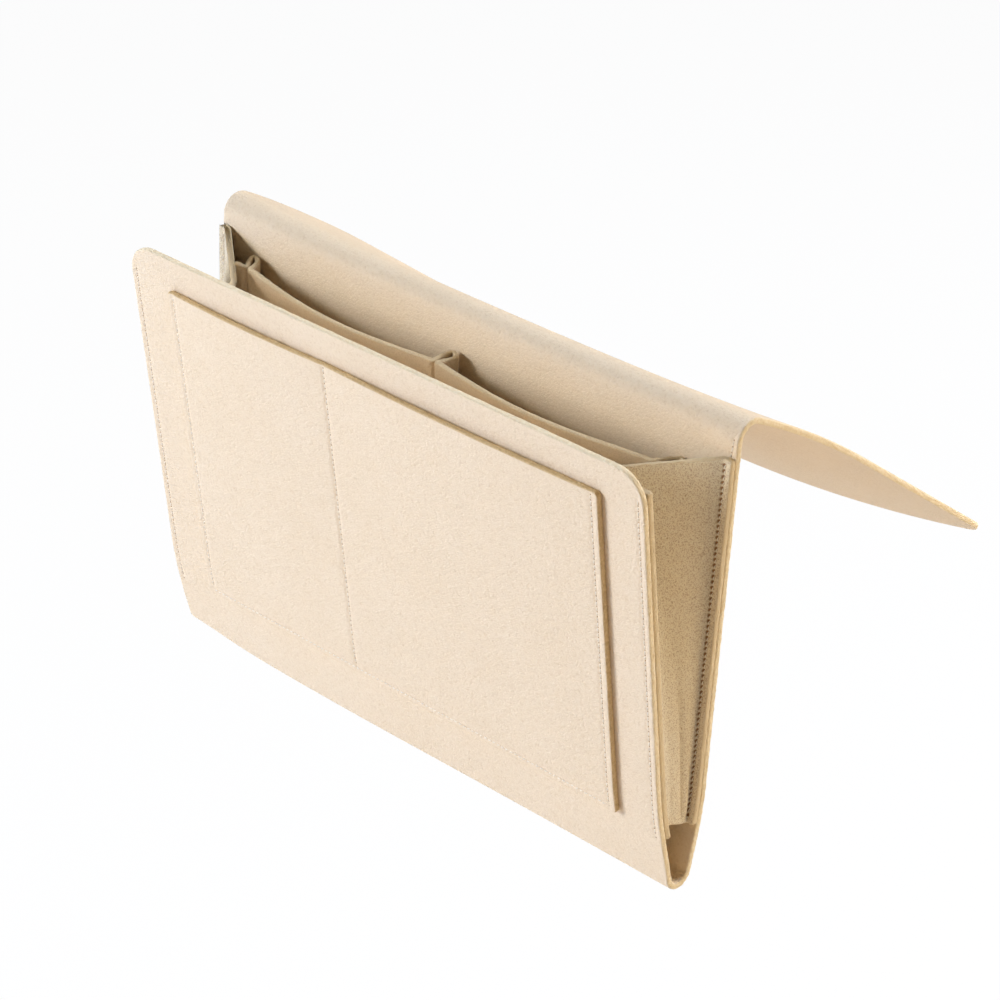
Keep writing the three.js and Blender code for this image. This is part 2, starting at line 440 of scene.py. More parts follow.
@dataclass
class MeshParts:
    """Vertices, faces and painted values of one felt, and the points of its sharp edges."""

    points: list[Points] = field(default_factory=list)
    faces: list[tuple[int, ...]] = field(default_factory=list)
    values: dict[str, list[Points]] = field(default_factory=dict)
    crease: set[int] = field(default_factory=set)
    count: int = 0

    def add(self, points: Points, **values: Points) -> int:
        """Adds points.

        Args:
            points: Their places.
            values: The values painted on them, one for each or one for all.

        Returns:
            The number of the first.
        """
        first = self.count
        self.points.append(points.reshape(-1, 3))
        amount = self.points[-1].shape[0]
        for name, value in values.items():
            self.values.setdefault(name, []).append(np.broadcast_to(value, (amount,)).astype(float))
        self.count += amount
        return first

    def build(self, name: str) -> bpy.types.Object:
        """Makes the Blender object, settled and in metres.

        Args:
            name: The piece's name.

        Returns:
            The piece.
        """
        points = settle(np.concatenate(self.points)) * METRES
        mesh = bpy.data.meshes.new(name)
        mesh.from_pydata(points.tolist(), [], self.faces)
        mesh.validate()
        mesh.polygons.foreach_set("use_smooth", np.ones(len(mesh.polygons), bool))
        for edge in mesh.edges if self.crease else ():
            edge.use_edge_sharp = self.crease.issuperset(edge.vertices)
        for key, value in self.values.items():
            layer = mesh.attributes.new(key, "FLOAT", "POINT")
            layer.data.foreach_set("value", np.concatenate(value).astype(np.float32))
        mesh.update()
        return put(name, mesh)


class FeltSheet:
    """A felt of even thickness about a middle surface, with soft cut edges and drawn-in seams."""

    RIM = (
        (0.5, 0.95),
        (0.82, 0.78),
        (0.97, 0.5),
        (1.0, 0.18),
        (1.0, -0.18),
        (0.97, -0.5),
        (0.82, -0.78),
        (0.5, -0.95),
    )
    CUT_START = 0.35  # how much of the cut's colour shows where the rim begins
    CUT_GAIN = 0.75  # and how much more at its outermost
    NORMAL_STEP = 0.02

    def __init__(
        self,
        name: str,
        middle: MiddleSurface,
        u: Points,
        v: Points,
        seams: Sequence[Seam] = (),
        joined: bool = False,
        chart: Chart | None = None,
        pressed: Points | None = None,
        seed: int = 1,
    ) -> None:
        """Holds what a felt is made from.

        Args:
            name: The piece's name.
            middle: Gives the middle surface's place for each pair of coordinates.
            u: The first coordinate at each grid place, across the felt.
            v: The second coordinate at each grid place, along the felt.
            seams: The seams that draw the felt in.
            joined: Whether the first row meets another felt and so has no cut edge.
            chart: Gives the seams' coordinates, where they aren't the felt's own.
            pressed: How much thinner each side of the felt is pressed, column by column.
            seed: Picks the unevenness of the cut.
        """
        self.name, self.middle, self.u, self.v = name, middle, u, v
        self.seams, self.joined, self.chart, self.pressed = tuple(seams), joined, chart, pressed
        self.random = np.random.default_rng(seed)

    def normal(self, u: Points, v: Points) -> Points:
        """Finds which way the felt faces.

        Args:
            u: The places' first coordinates.
            v: Their second coordinates.

        Returns:
            The normal at each place.
        """
        step = self.NORMAL_STEP
        across = self.middle(u + step, v) - self.middle(u - step, v)
        along = self.middle(u, v + step) - self.middle(u, v - step)
        return unit(np.cross(across, along))

    def relief(self, u: Points, v: Points) -> Points:
        """Presses and draws the felt in.

        Args:
            u: The places' first coordinates.
            v: Their second coordinates.

        Returns:
            How much thinner each side of the felt is at each place.
        """
        depth = np.zeros(np.broadcast(u, v).shape)
        if self.pressed is not None:
            depth = depth + np.interp(u, np.arange(len(self.pressed)), self.pressed)
        across, along = self.chart(u, v) if self.chart else (u, v)
        for seam in self.seams:
            depth = np.maximum(depth, seam.draw(across, along))
        return depth

    def surface(self, u: Points, v: Points, side: Side) -> Points:
        """Gives places on one face of the felt."""
        lift = HALF_FELT - self.relief(u, v)
        return self.middle(u, v) + self.normal(u, v) * (lift * side.value)[..., None]

    def seam_values(self, u: Points, v: Points) -> dict[str, Points]:
        """Measures each place's distance from the needle holes.

        Args:
            u: The first coordinates.
            v: The second coordinates.

        Returns:
            The distances along and beside the nearest seam, and how fine its holes are.
        """
        run = np.zeros(np.broadcast(u, v).shape)
        beside, fineness = np.full(run.shape, FAR_AWAY), np.ones(run.shape)
        places = self.chart(u, v) if self.chart else (u, v)
        for seam in self.seams:
            along, away = seam.measure(*places)
            inside = (along > -seam.last_hole) & (along < seam.length + seam.last_hole)
            nearer = inside & (np.abs(away) < beside)
            run = np.where(nearer, along, run)
            beside = np.where(nearer, np.abs(away), beside)
            fineness = np.where(nearer, 1.0 / seam.hole, fineness)
        return {"seam_run": run.ravel(), "seam_beside": beside.ravel(), "hole_fineness": fineness.ravel()}

    def border(self) -> list[tuple[int, int]]:
        """Lists the grid places round the felt, open where it is joined to another."""
        rows, columns = self.u.shape
        right = [(r, columns - 1) for r in range(rows)]
        far = [(rows - 1, c) for c in range(columns - 2, -1, -1)]
        left = [(r, 0) for r in range(rows - 2, -1, -1)]
        near = [] if self.joined else [(0, c) for c in range(1, columns - 1)]
        return right + far + left + near

    def build(self) -> bpy.types.Object:
        """Makes the felt's mesh, as one closed skin."""
        parts = MeshParts()
        rows, columns = self.u.shape
        values = self.seam_values(self.u, self.v)
        top, under = (
            parts.add(self.surface(self.u, self.v, side), cut=np.array(0.0), **values) for side in Side
        )
        for r in range(rows - 1):
            for c in range(columns - 1):
                a, b = r * columns + c, (r + 1) * columns + c
                parts.faces.append((top + a, top + a + 1, top + b + 1, top + b))
                parts.faces.append((under + a, under + b, under + b + 1, under + a + 1))
        loops = [top, *self.rim(parts), under]
        self.close_rim(parts, loops)
        return parts.build(self.name)

    def rim(self, parts: MeshParts) -> list[int]:
        """Adds the points of the rounded, slightly uneven cut edge.

        Args:
            parts: The felt's mesh so far.

        Returns:
            The number of the first point of each loop, from the top face to the under face.
        """
        where = tuple(np.array(self.border()).T)
        u, v = self.u[where], self.v[where]
        places, normals = self.middle(u, v), self.normal(u, v)
        half = (HALF_FELT - self.relief(u, v))[:, None]
        ahead, behind = np.roll(places, -1, axis=0), np.roll(places, 1, axis=0)
        if self.joined:
            ahead[-1], behind[0] = places[-1], places[0]
        outward = unit(np.cross(unit(ahead - behind), normals))
        far = {
            "seam_run": np.array(0.0),
            "seam_beside": np.array(FAR_AWAY),
            "hole_fineness": np.array(1.0),
        }
        firsts = []
        for out, level in self.RIM:
            rough = 1.0 + EDGE_ROUGH * self.random.standard_normal(len(places))[:, None] * out
            across = outward * (EDGE_ROUND * out * rough)
            height = normals * (level * half)
            cut = np.array(min(1.0, self.CUT_START + out * self.CUT_GAIN))
            firsts.append(parts.add(places + across + height, cut=cut, **far))
        return firsts

    def close_rim(self, parts: MeshParts, firsts: Sequence[int]) -> None:
        """Closes the felt all round its cut edge, and at the join where it has one.

        Args:
            parts: The felt's mesh so far.
            firsts: The first point of the top face, of each loop of the rim and of the under face.
        """
        columns = self.u.shape[1]
        ring = self.border()
        index = np.array([r * columns + c for r, c in ring])
        top, *rim, under = firsts
        loops = [top + index, *(first + np.arange(len(ring)) for first in rim), under + index]
        last = len(ring) - 1 if self.joined else len(ring)
        for a, b in zip(loops, loops[1:]):
            for i in range(last):
                j = (i + 1) % len(ring)
                parts.faces.append((int(a[i]), int(b[i]), int(b[j]), int(a[j])))
        if not self.joined:
            return
        parts.faces.append(tuple(int(loop[0]) for loop in loops))
        parts.faces.append(tuple(int(loop[-1]) for loop in reversed(loops)))
        parts.crease.update(int(loop[end]) for loop in loops for end in (0, -1))
        parts.crease.update(side + c for side in (top, under) for c in range(columns))
        for c in range(columns - 1):
            parts.faces.append((top + c, under + c, under + c + 1, top + c + 1))


@dataclass(frozen=True)
class Thread:
    """Sewing thread, as short lifted stitches between holes.

    Args:
        radius: The thread's radius at the middle of a stitch.
        stitch: The length that shows of a stitch.
        lift: How far a stitch's middle stands off the felt.
        dip: How far a stitch's ends go down again, as a multiple of the lift.
        taper: How much thinner it gets towards its ends.
        flatness: Its height as a share of its width.
        slant: How far a stitch turns out of the seam's line.
        slant_unevenness: How unevenly it does.
        wander: How unevenly the stitches keep to the line.
        stretch: How unevenly long they are.
        sides: How many sides a thread has.
        ring_shares: Where its rings lie along a stitch.
        tangent_step: The step with which a direction is found.
    """

    radius: float = 0.27
    stitch: float = 2.05
    lift: float = 0.16
    dip: float = 2.4
    taper: float = 0.35
    flatness: float = 0.85
    slant: float = 0.05
    slant_unevenness: float = 0.035
    wander: float = 0.06
    stretch: float = 0.04
    sides: int = 7
    ring_shares: tuple[float, ...] = (-0.5, -0.36, -0.14, 0.14, 0.36, 0.5)
    tangent_step: float = 0.05

    def sew(self, felt: FeltSheet, seam: Seam, side: Side, seed: int) -> bpy.types.Object:
        """Sews one seam's visible thread on one face of a felt.

        Args:
            felt: The felt that is sewn.
            seam: The seam on it.
            side: The face on which this thread lies.
            seed: Picks the small unevenness of the stitches.

        Returns:
            The thread piece.
        """
        random = np.random.default_rng(seed)
        amount = int(seam.length / STITCH_PITCH)
        middles = (np.arange(amount) + 0.5) * STITCH_PITCH
        start, end = np.array(seam.start), np.array(seam.end)
        along = (end - start) / seam.length
        beside = np.array([-along[1], along[0]])
        slant = random.normal(0.0, self.slant_unevenness, amount) + self.slant
        wander = random.normal(0.0, self.wander, amount)
        stretch = 1.0 + random.normal(0.0, self.stretch, amount)
        parts = MeshParts()
        rings = []
        for share in self.ring_shares:
            reach = share * self.stitch * stretch
            place = start + np.outer(middles + reach, along) + np.outer(wander + slant * reach, beside)
            rings.append(parts.add(self.ring(felt, place, along, side, abs(2 * share))))
        for stitch in range(amount):
            self.skin(parts, [ring + stitch * self.sides for ring in rings])
        return parts.build(f"thread_{seam.name}_{side.name.lower()}")

    def ring(self, felt: FeltSheet, place: Points, along: Points, side: Side, end: float) -> Points:
        """Gives one ring of points round every stitch of a seam.

        Args:
            felt: The felt that is sewn.
            place: The ring's middle at each stitch, in the felt's coordinates.
            along: The seam's direction.
            side: The face on which the thread lies.
            end: How near the ring is to the stitch's end, from 0 to 1.

        Returns:
            The points, stitch by stitch.
        """
        u, v = place[:, 0], place[:, 1]
        arch = self.lift * (1.0 - end**2 * self.dip)
        normal = felt.normal(u, v) * side.value
        centre = felt.surface(u, v, side) + normal * arch
        step = place + along * self.tangent_step
        tangent = unit(felt.middle(step[:, 0], step[:, 1]) - felt.middle(u, v))
        across = unit(np.cross(normal, tangent))
        thick = self.radius * (1.0 - self.taper * end**3)
        angles = np.arange(self.sides) * 2 * math.pi / self.sides
        ring = [
            centre + across * math.cos(a) * thick + normal * math.sin(a) * thick * self.flatness
            for a in angles
        ]
        return np.stack(ring, axis=1)

    def skin(self, parts: MeshParts, rings: Sequence[int]) -> None:
        """Closes one stitch over its rings.

        Args:
            parts: The thread's mesh so far.
            rings: The number of each ring's first point.
        """
        for a, b in zip(rings, rings[1:]):
            for k in range(self.sides):
                n = (k + 1) % self.sides
                parts.faces.append((a + k, a + n, b + n, b + k))
        parts.faces.append(tuple(rings[0] + k for k in reversed(range(self.sides))))
        parts.faces.append(tuple(rings[-1] + k for k in range(self.sides)))


class Nodes:
    """A tree of shader nodes that is put together node by node."""

    def __init__(self, tree: bpy.types.NodeTree) -> None:
        """Empties the tree."""
        self.tree = tree
        self.tree.nodes.clear()

    def node(self, kind: str, settings: dict | None = None, sockets: dict | None = None) -> bpy.types.Node:
        """Adds one node.

        Args:
            kind: The node's type, without its prefix.
            settings: Its settings, which are set first.
            sockets: A value, a Wire or a socket for each named or numbered input.

        Returns:
            The node.
        """
        node = self.tree.nodes.new("ShaderNode" + kind)
        for name, value in (settings or {}).items():
            setattr(node, name, value)
        for name, value in (sockets or {}).items():
            socket = node.inputs[name]
            if isinstance(value, Wire):
                self.tree.links.new(value.socket, socket)
            elif isinstance(value, bpy.types.NodeSocket):
                self.tree.links.new(value, socket)
            else:
                socket.default_value = value
        return node

    def wire(self, node: bpy.types.Node, output: str | int = 0) -> "Wire":
        """Gives a node's output for sums."""
        return Wire(self, node.outputs[output])

    def seen(self) -> "Wire":
        """Marks what the camera sees, straight or in something glossy."""
        path = self.node("LightPath")
        return self.wire(path, "Is Camera Ray").maths("MAXIMUM", self.wire(path, "Is Glossy Ray"))

    def mixed(self, share: "Wire", a: bpy.types.Node, b: bpy.types.Node) -> bpy.types.NodeSocket:
        """Mixes two shaders by a share."""
        return self.node("MixShader", sockets={0: share, 1: a.outputs[0], 2: b.outputs[0]}).outputs[0]


class Wire:
    """A node's output that can be used in sums."""

    def __init__(self, nodes: Nodes, socket: bpy.types.NodeSocket) -> None:
        """Wraps a socket."""
        self.nodes, self.socket = nodes, socket

    def maths(self, operation: str, *others: "Wire | float", first: bool = True) -> "Wire":
        """Adds a Math node.

        Args:
            operation: The node's operation.
            others: The other values.
            first: Whether this value is the first of them.

        Returns:
            The node's output.
        """
        values = [self, *others] if first else [*others, self]
        return self.nodes.wire(self.nodes.node("Math", {"operation": operation}, dict(enumerate(values))))

    def __add__(self, other: "Wire | float") -> "Wire":
        """Adds."""
        return self.maths("ADD", other)

    __radd__ = __add__

    def __sub__(self, other: "Wire | float") -> "Wire":
        """Takes away."""
        return self.maths("SUBTRACT", other)

    def __rsub__(self, other: float) -> "Wire":
        """Takes this value away from a number."""
        return self.maths("SUBTRACT", other, first=False)

    def __mul__(self, other: "Wire | float") -> "Wire":
        """Multiplies."""
        return self.maths("MULTIPLY", other)

    __rmul__ = __mul__

    def ramp(self, low: float, high: float) -> "Wire":
        """Eases this value from 0 to 1.

        Args:
            low: The value at which it is 0.
            high: The value at which it is 1.

        Returns:
            The eased value.
        """
        sockets = {"Value": self, "From Min": low, "From Max": high}
        node = self.nodes.node("MapRange", {"interpolation_type": "SMOOTHSTEP"}, sockets)
        return self.nodes.wire(node, "Result")


def opaque(colour: Colour) -> tuple[float, float, float, float]:
    """Gives a colour with full cover."""
    return (*colour, 1.0)


Paint = Colour | bpy.types.NodeSocket


class Recipe(Nodes):
    """A material that is put together node by node."""

    def __init__(self, name: str) -> None:
        """Starts an empty material.

        Args:
            name: The material's name.
        """
        self.material = bpy.data.materials.new(name)
        self.material.use_nodes = True
        super().__init__(self.material.node_tree)

    def painted(self, name: str) -> Wire:
        """Reads a value painted on the mesh."""
        return self.wire(self.node("Attribute", {"attribute_name": name}), "Fac")

    def noise(self, place: bpy.types.NodeSocket, size: float, detail: float, rough: float = 0.5) -> Wire:
        """Adds noise.

        Args:
            place: The places that it is looked up at.
            size: The size of its patches in millimetres.
            detail: How many finer layers it has.
            rough: How strong they are.

        Returns:
            Its value, about one half on average.
        """
        sockets = {"Vector": place, "Scale": 1.0 / (size * METRES), "Detail": detail, "Roughness": rough}
        return self.wire(self.node("TexNoise", {"noise_dimensions": "3D"}, sockets))

    def blend(self, share: Wire, a: Paint, b: Paint) -> bpy.types.NodeSocket:
        """Mixes two colours.

        Args:
            share: How much of the second shows.
            a: The first colour, plain or from a socket.
            b: The second colour.

        Returns:
            The mixed colour.
        """
        colours = (paint if isinstance(paint, bpy.types.NodeSocket) else opaque(paint) for paint in (a, b))
        sockets = dict(zip((0, 6, 7), (share, *colours)))
        return self.node("Mix", {"data_type": "RGBA", "clamp_factor": True}, sockets).outputs[2]

    def surface(
        self, tone: bpy.types.NodeSocket, height: Wire, bump: float, depth: float, gloss: dict
    ) -> bpy.types.Material:
        """Gives the material its surface.

        Args:
            tone: Its colour.
            height: Its relief.
            bump: How strongly the relief shows.
            depth: How deep it is in millimetres.
            gloss: The shader's plain values.

        Returns:
            The material.
        """
        lifted = {"Strength": bump, "Distance": depth * METRES, "Height": height}
        normal = self.node("Bump", sockets=lifted).outputs["Normal"]
        shader = self.node("BsdfPrincipled", sockets={"Base Color": tone, **gloss, "Normal": normal})
        return self.finish(shader.outputs["BSDF"])

    def finish(self, shader: bpy.types.NodeSocket) -> bpy.types.Material:
        """Links the shader to the material's output."""
        self.node("OutputMaterial", sockets={"Surface": shader})
        return self.material


@dataclass(frozen=True)
class FeltFinish:
    """Pressed wool-look felt: a warm beige with short fibres, yellower where it is cut.

    Args:
        name: The material's name.
        colour: The felt's own tone.
        light_fibre: The tone of its lighter fibres.
        dark_fibre: The tone between the fibres.
        cut_colour: The tone of a cut edge.
        cut_shade: The tone of the streaks on a cut edge.
        hole_shade: The painted shade inside a needle hole and beside its stitches.
        grain: How strongly the fibres show.
        fibre_size: The size of the fibres.
        fibre_edges: From where to where on their noise the dark ones show.
        speck_size: The size of the specks, as a share of the fibres'.
        speck_edges: From where to where on their noise they show.
        speck_gain: How much more they show than the fibres.
        cloud_size: The size of the widest patches.
        cloud_tone: How strongly they change the tone.
        mottle_size: The size of the smaller patches.
        mottle_tone: How strongly they change the tone.
        lightness: How much of the light fibres' tone lies over the whole felt.
        streak_edges: From where to where on the fibres a cut edge is streaked.
        streak_cover: How strongly it is.
        cut_edges: From where to where on the rim the cut's colour comes in.
        cut_cover: How strongly it covers the felt's own.
        hole_edges: From where to where a needle hole's painted shade fades out, as a share of its radius.
        relief: How much fibres, specks and mottle lift the surface.
        bump: How strongly the relief shows.
        bump_depth: How deep it is.
        roughness: The shader's roughness.
        specular: The shader's gloss.
        sheen: How strongly the fibre ends catch light.
        sheen_roughness: How widely they do.
    """

    name: str = "felt_beige"
    colour: Colour = (0.86, 0.695, 0.485)
    light_fibre: Colour = (0.93, 0.79, 0.60)
    dark_fibre: Colour = (0.62, 0.435, 0.24)
    cut_colour: Colour = (0.96, 0.84, 0.60)
    cut_shade: Colour = (0.84, 0.66, 0.39)
    hole_shade: Colour = (0.33, 0.18, 0.08)
    grain: float = 0.34
    fibre_size: float = 1.5
    fibre_edges: tuple[float, float] = (0.46, 0.74)
    speck_size: float = 0.6
    speck_edges: tuple[float, float] = (0.52, 0.76)
    speck_gain: float = 1.2
    cloud_size: float = 34.0
    cloud_tone: float = 0.45
    mottle_size: float = 4.2
    mottle_tone: float = 0.5
    lightness: float = 0.34
    streak_edges: tuple[float, float] = (0.35, 0.65)
    streak_cover: float = 0.7
    cut_edges: tuple[float, float] = (0.3, 0.95)
    cut_cover: float = 0.85
    hole_edges: tuple[float, float] = (0.45, 1.35)
    relief: tuple[float, float, float] = (0.85, 0.6, 0.35)
    bump: float = 0.85
    bump_depth: float = 0.9
    roughness: float = 0.95
    specular: float = 0.15
    sheen: float = 0.12
    sheen_roughness: float = 0.5

    def material(self) -> bpy.types.Material:
        """Makes the felt's material."""
        recipe = Recipe(self.name)
        place = recipe.node("TexCoord").outputs["Object"]
        clouds = recipe.noise(place, self.cloud_size, detail=2.0)
        mottle = recipe.noise(place, self.mottle_size, detail=3.0, rough=0.6)
        fibres = recipe.noise(place, self.fibre_size, detail=4.0, rough=0.7)
        specks = recipe.noise(place, self.fibre_size * self.speck_size, detail=2.0, rough=0.6)
        light = (mottle - 0.5) * self.mottle_tone + (clouds - 0.5) * self.cloud_tone + self.lightness
        dark = (1.0 - fibres).ramp(*self.fibre_edges) * self.grain
        pale = specks.ramp(*self.speck_edges) * (self.grain * self.speck_gain)
        streaks = fibres.ramp(*self.streak_edges) * self.streak_cover
        cut = recipe.painted("cut").ramp(*self.cut_edges) * self.cut_cover
        tone = recipe.blend(light, self.colour, self.light_fibre)
        tone = recipe.blend(dark, tone, self.dark_fibre)
        tone = recipe.blend(pale, tone, self.light_fibre)
        tone = recipe.blend(cut, tone, recipe.blend(streaks, self.cut_colour, self.cut_shade))
        # Painted shade: the needle holes are darkened where shade falls into them and beside the stitches.
        tone = recipe.blend(self.holes(recipe), tone, self.hole_shade)
        of_fibres, of_specks, of_mottle = self.relief
        height = fibres * of_fibres + specks * of_specks + mottle * of_mottle
        gloss = {
            "Roughness": self.roughness,
            "Specular IOR Level": self.specular,
            "Sheen Weight": self.sheen,
            "Sheen Roughness": self.sheen_roughness,
            "Sheen Tint": opaque(self.light_fibre),
        }
        return recipe.surface(tone, height, self.bump, self.bump_depth, gloss)

    def holes(self, recipe: Recipe) -> Wire:
        """Paints shade into the needle holes between the stitches of a seam.

        Args:
            recipe: The material so far.

        Returns:
            How much of each hole's painted shade shows.
        """
        run, beside = recipe.painted("seam_run"), recipe.painted("seam_beside")
        along = run.maths("PINGPONG", STITCH_PITCH / 2)
        away = (along * along + beside * beside).maths("SQRT") * recipe.painted("hole_fineness")
        return 1.0 - away.ramp(*self.hole_edges)


@dataclass(frozen=True)
class ThreadFinish:
    """Spun sewing thread in the felt's own beige.

    Args:
        name: The material's name.
        colour: The thread's tone.
        shade: The tone between its strands.
        strand_size: The size of its strands.
        strand_edges: From where to where on their noise the shade shows.
        strand_cover: How strongly it does.
        bump: How strongly the strands' relief shows.
        bump_depth: How deep it is.
        roughness: The shader's roughness.
        specular: The shader's gloss.
    """

    name: str = "thread_beige"
    colour: Colour = (0.93, 0.85, 0.72)
    shade: Colour = (0.70, 0.58, 0.42)
    strand_size: float = 0.4
    strand_edges: tuple[float, float] = (0.45, 0.75)
    strand_cover: float = 0.5
    bump: float = 0.4
    bump_depth: float = 0.1
    roughness: float = 0.7
    specular: float = 0.3

    def material(self) -> bpy.types.Material:
        """Makes the thread's material."""
        recipe = Recipe(self.name)
        strands = recipe.noise(recipe.node("TexCoord").outputs["Object"], self.strand_size, detail=2.0)
        tone = recipe.blend(strands.ramp(*self.strand_edges) * self.strand_cover, self.colour, self.shade)
        gloss = {"Roughness": self.roughness, "Specular IOR Level": self.specular}
        return recipe.surface(tone, strands, self.bump, self.bump_depth, gloss)


class Finish(Enum):
    """The caddy's felt: the main finish, and copies whose colours are tuned to the light and shade where
    they hang, which carry painted shade.
    """

    MAIN = FeltFinish()
    # Painted shade: a copy of the felt for the recessed gussets. Its colours and much stronger dark grain
    # are tuned to the grazing light and shade there, and its cut edges are warmed against the top lamp's
    # blue.
    GUSSET = FeltFinish(
        "felt_beige_gusset_painted_shade",
        colour=(0.98, 0.84, 0.60),
        light_fibre=(0.98, 0.91, 0.73),
        dark_fibre=(0.52, 0.33, 0.16),
        cut_colour=(0.96, 0.80, 0.52),
        cut_shade=(0.78, 0.56, 0.30),
        grain=0.78,
        fibre_size=0.64,
        fibre_edges=(0.44, 0.66),
        bump=1.0,
        bump_depth=0.8,
    )
    # Painted shade: a darker copy of the felt for the divider, which stands in partial shade inside the
    # caddy. Its cut edges are warmed against the top lamp's blue.
    DIVIDER = FeltFinish(
        "felt_beige_divider_painted_shade",
        colour=(0.81, 0.635, 0.42),
        light_fibre=(0.90, 0.74, 0.53),
        cut_colour=(0.96, 0.80, 0.52),
        cut_shade=(0.78, 0.56, 0.30),
        fibre_size=0.9,
        fibre_edges=(0.44, 0.66),
    )
    # The pocket's cut edges are darker and browner than the main felt's: partly their own colour, partly
    # painted shade, as its right edge faces away from the key light.
    POCKET = FeltFinish("felt_beige_pocket", cut_colour=(0.80, 0.58, 0.29), cut_shade=(0.58, 0.38, 0.15))


def dress(piece: bpy.types.Object, material: bpy.types.Material) -> None:
    """Gives a piece its finish.

    Args:
        piece: The piece.
        material: Its finish.
    """
    piece.data.materials.clear()
    piece.data.materials.append(material)


CORNER_STEPS = 8


def corner_rows(straight: Points, near: float, far: float) -> tuple[Points, Points]:
    """Adds the rows of rounded corners to the ends of a felt's straight rows.

    Args:
        straight: The rows between the corners.
        near: The corner radius before them, or 0 for a straight end.
        far: The corner radius after them, or 0 for a straight end.

    Returns:
        The rows' places and how far the corners take in the felt's sides at each.
    """
    arc = np.linspace(0.0, math.pi / 2, CORNER_STEPS + 1)
    places, insets = [straight], [np.zeros_like(straight)]
    if near > 0:
        places.insert(0, straight[0] - near * np.sin(arc[:0:-1]))
        insets.insert(0, near * (1 - np.cos(arc[:0:-1])))
    if far > 0:
        places.append(straight[-1] + far * np.sin(arc[1:]))
        insets.append(far * (1 - np.cos(arc[1:])))
    return np.concatenate(places), np.concatenate(insets)


def between_sides(
    columns: Points, rows: Points, insets: Points, middle: float = 0.0
) -> tuple[Points, Points]:
    """Makes a felt's grid of coordinates, narrowed where its corners are rounded.

    Args:
        columns: The places across the felt.
        rows: The places along it.
        insets: How far each row's sides are taken in.
        middle: The middle of the columns.

    Returns:
        The two coordinates at each grid place.
    """
    half = columns[-1] - middle
    u = middle + (columns - middle)[None, :] * ((half - insets) / half)[:, None]
    return u, np.broadcast_to(rows[:, None], u.shape)


@dataclass(frozen=True)
class Pleat:
    """One pleat of the divider, with its places across the caddy at the divider's top edge.

    Args:
        name: Which of the pleats it is.
        front: Where its two layers meet in front.
        back: The middle of its fold, at the back panel, where it is sewn on.
        depth: How far the divider stands off the back panel in front of it.
        skew: How much nearer to the front its fold's right end lies.
    """

    name: str
    front: float
    back: float
    depth: float
    skew: float


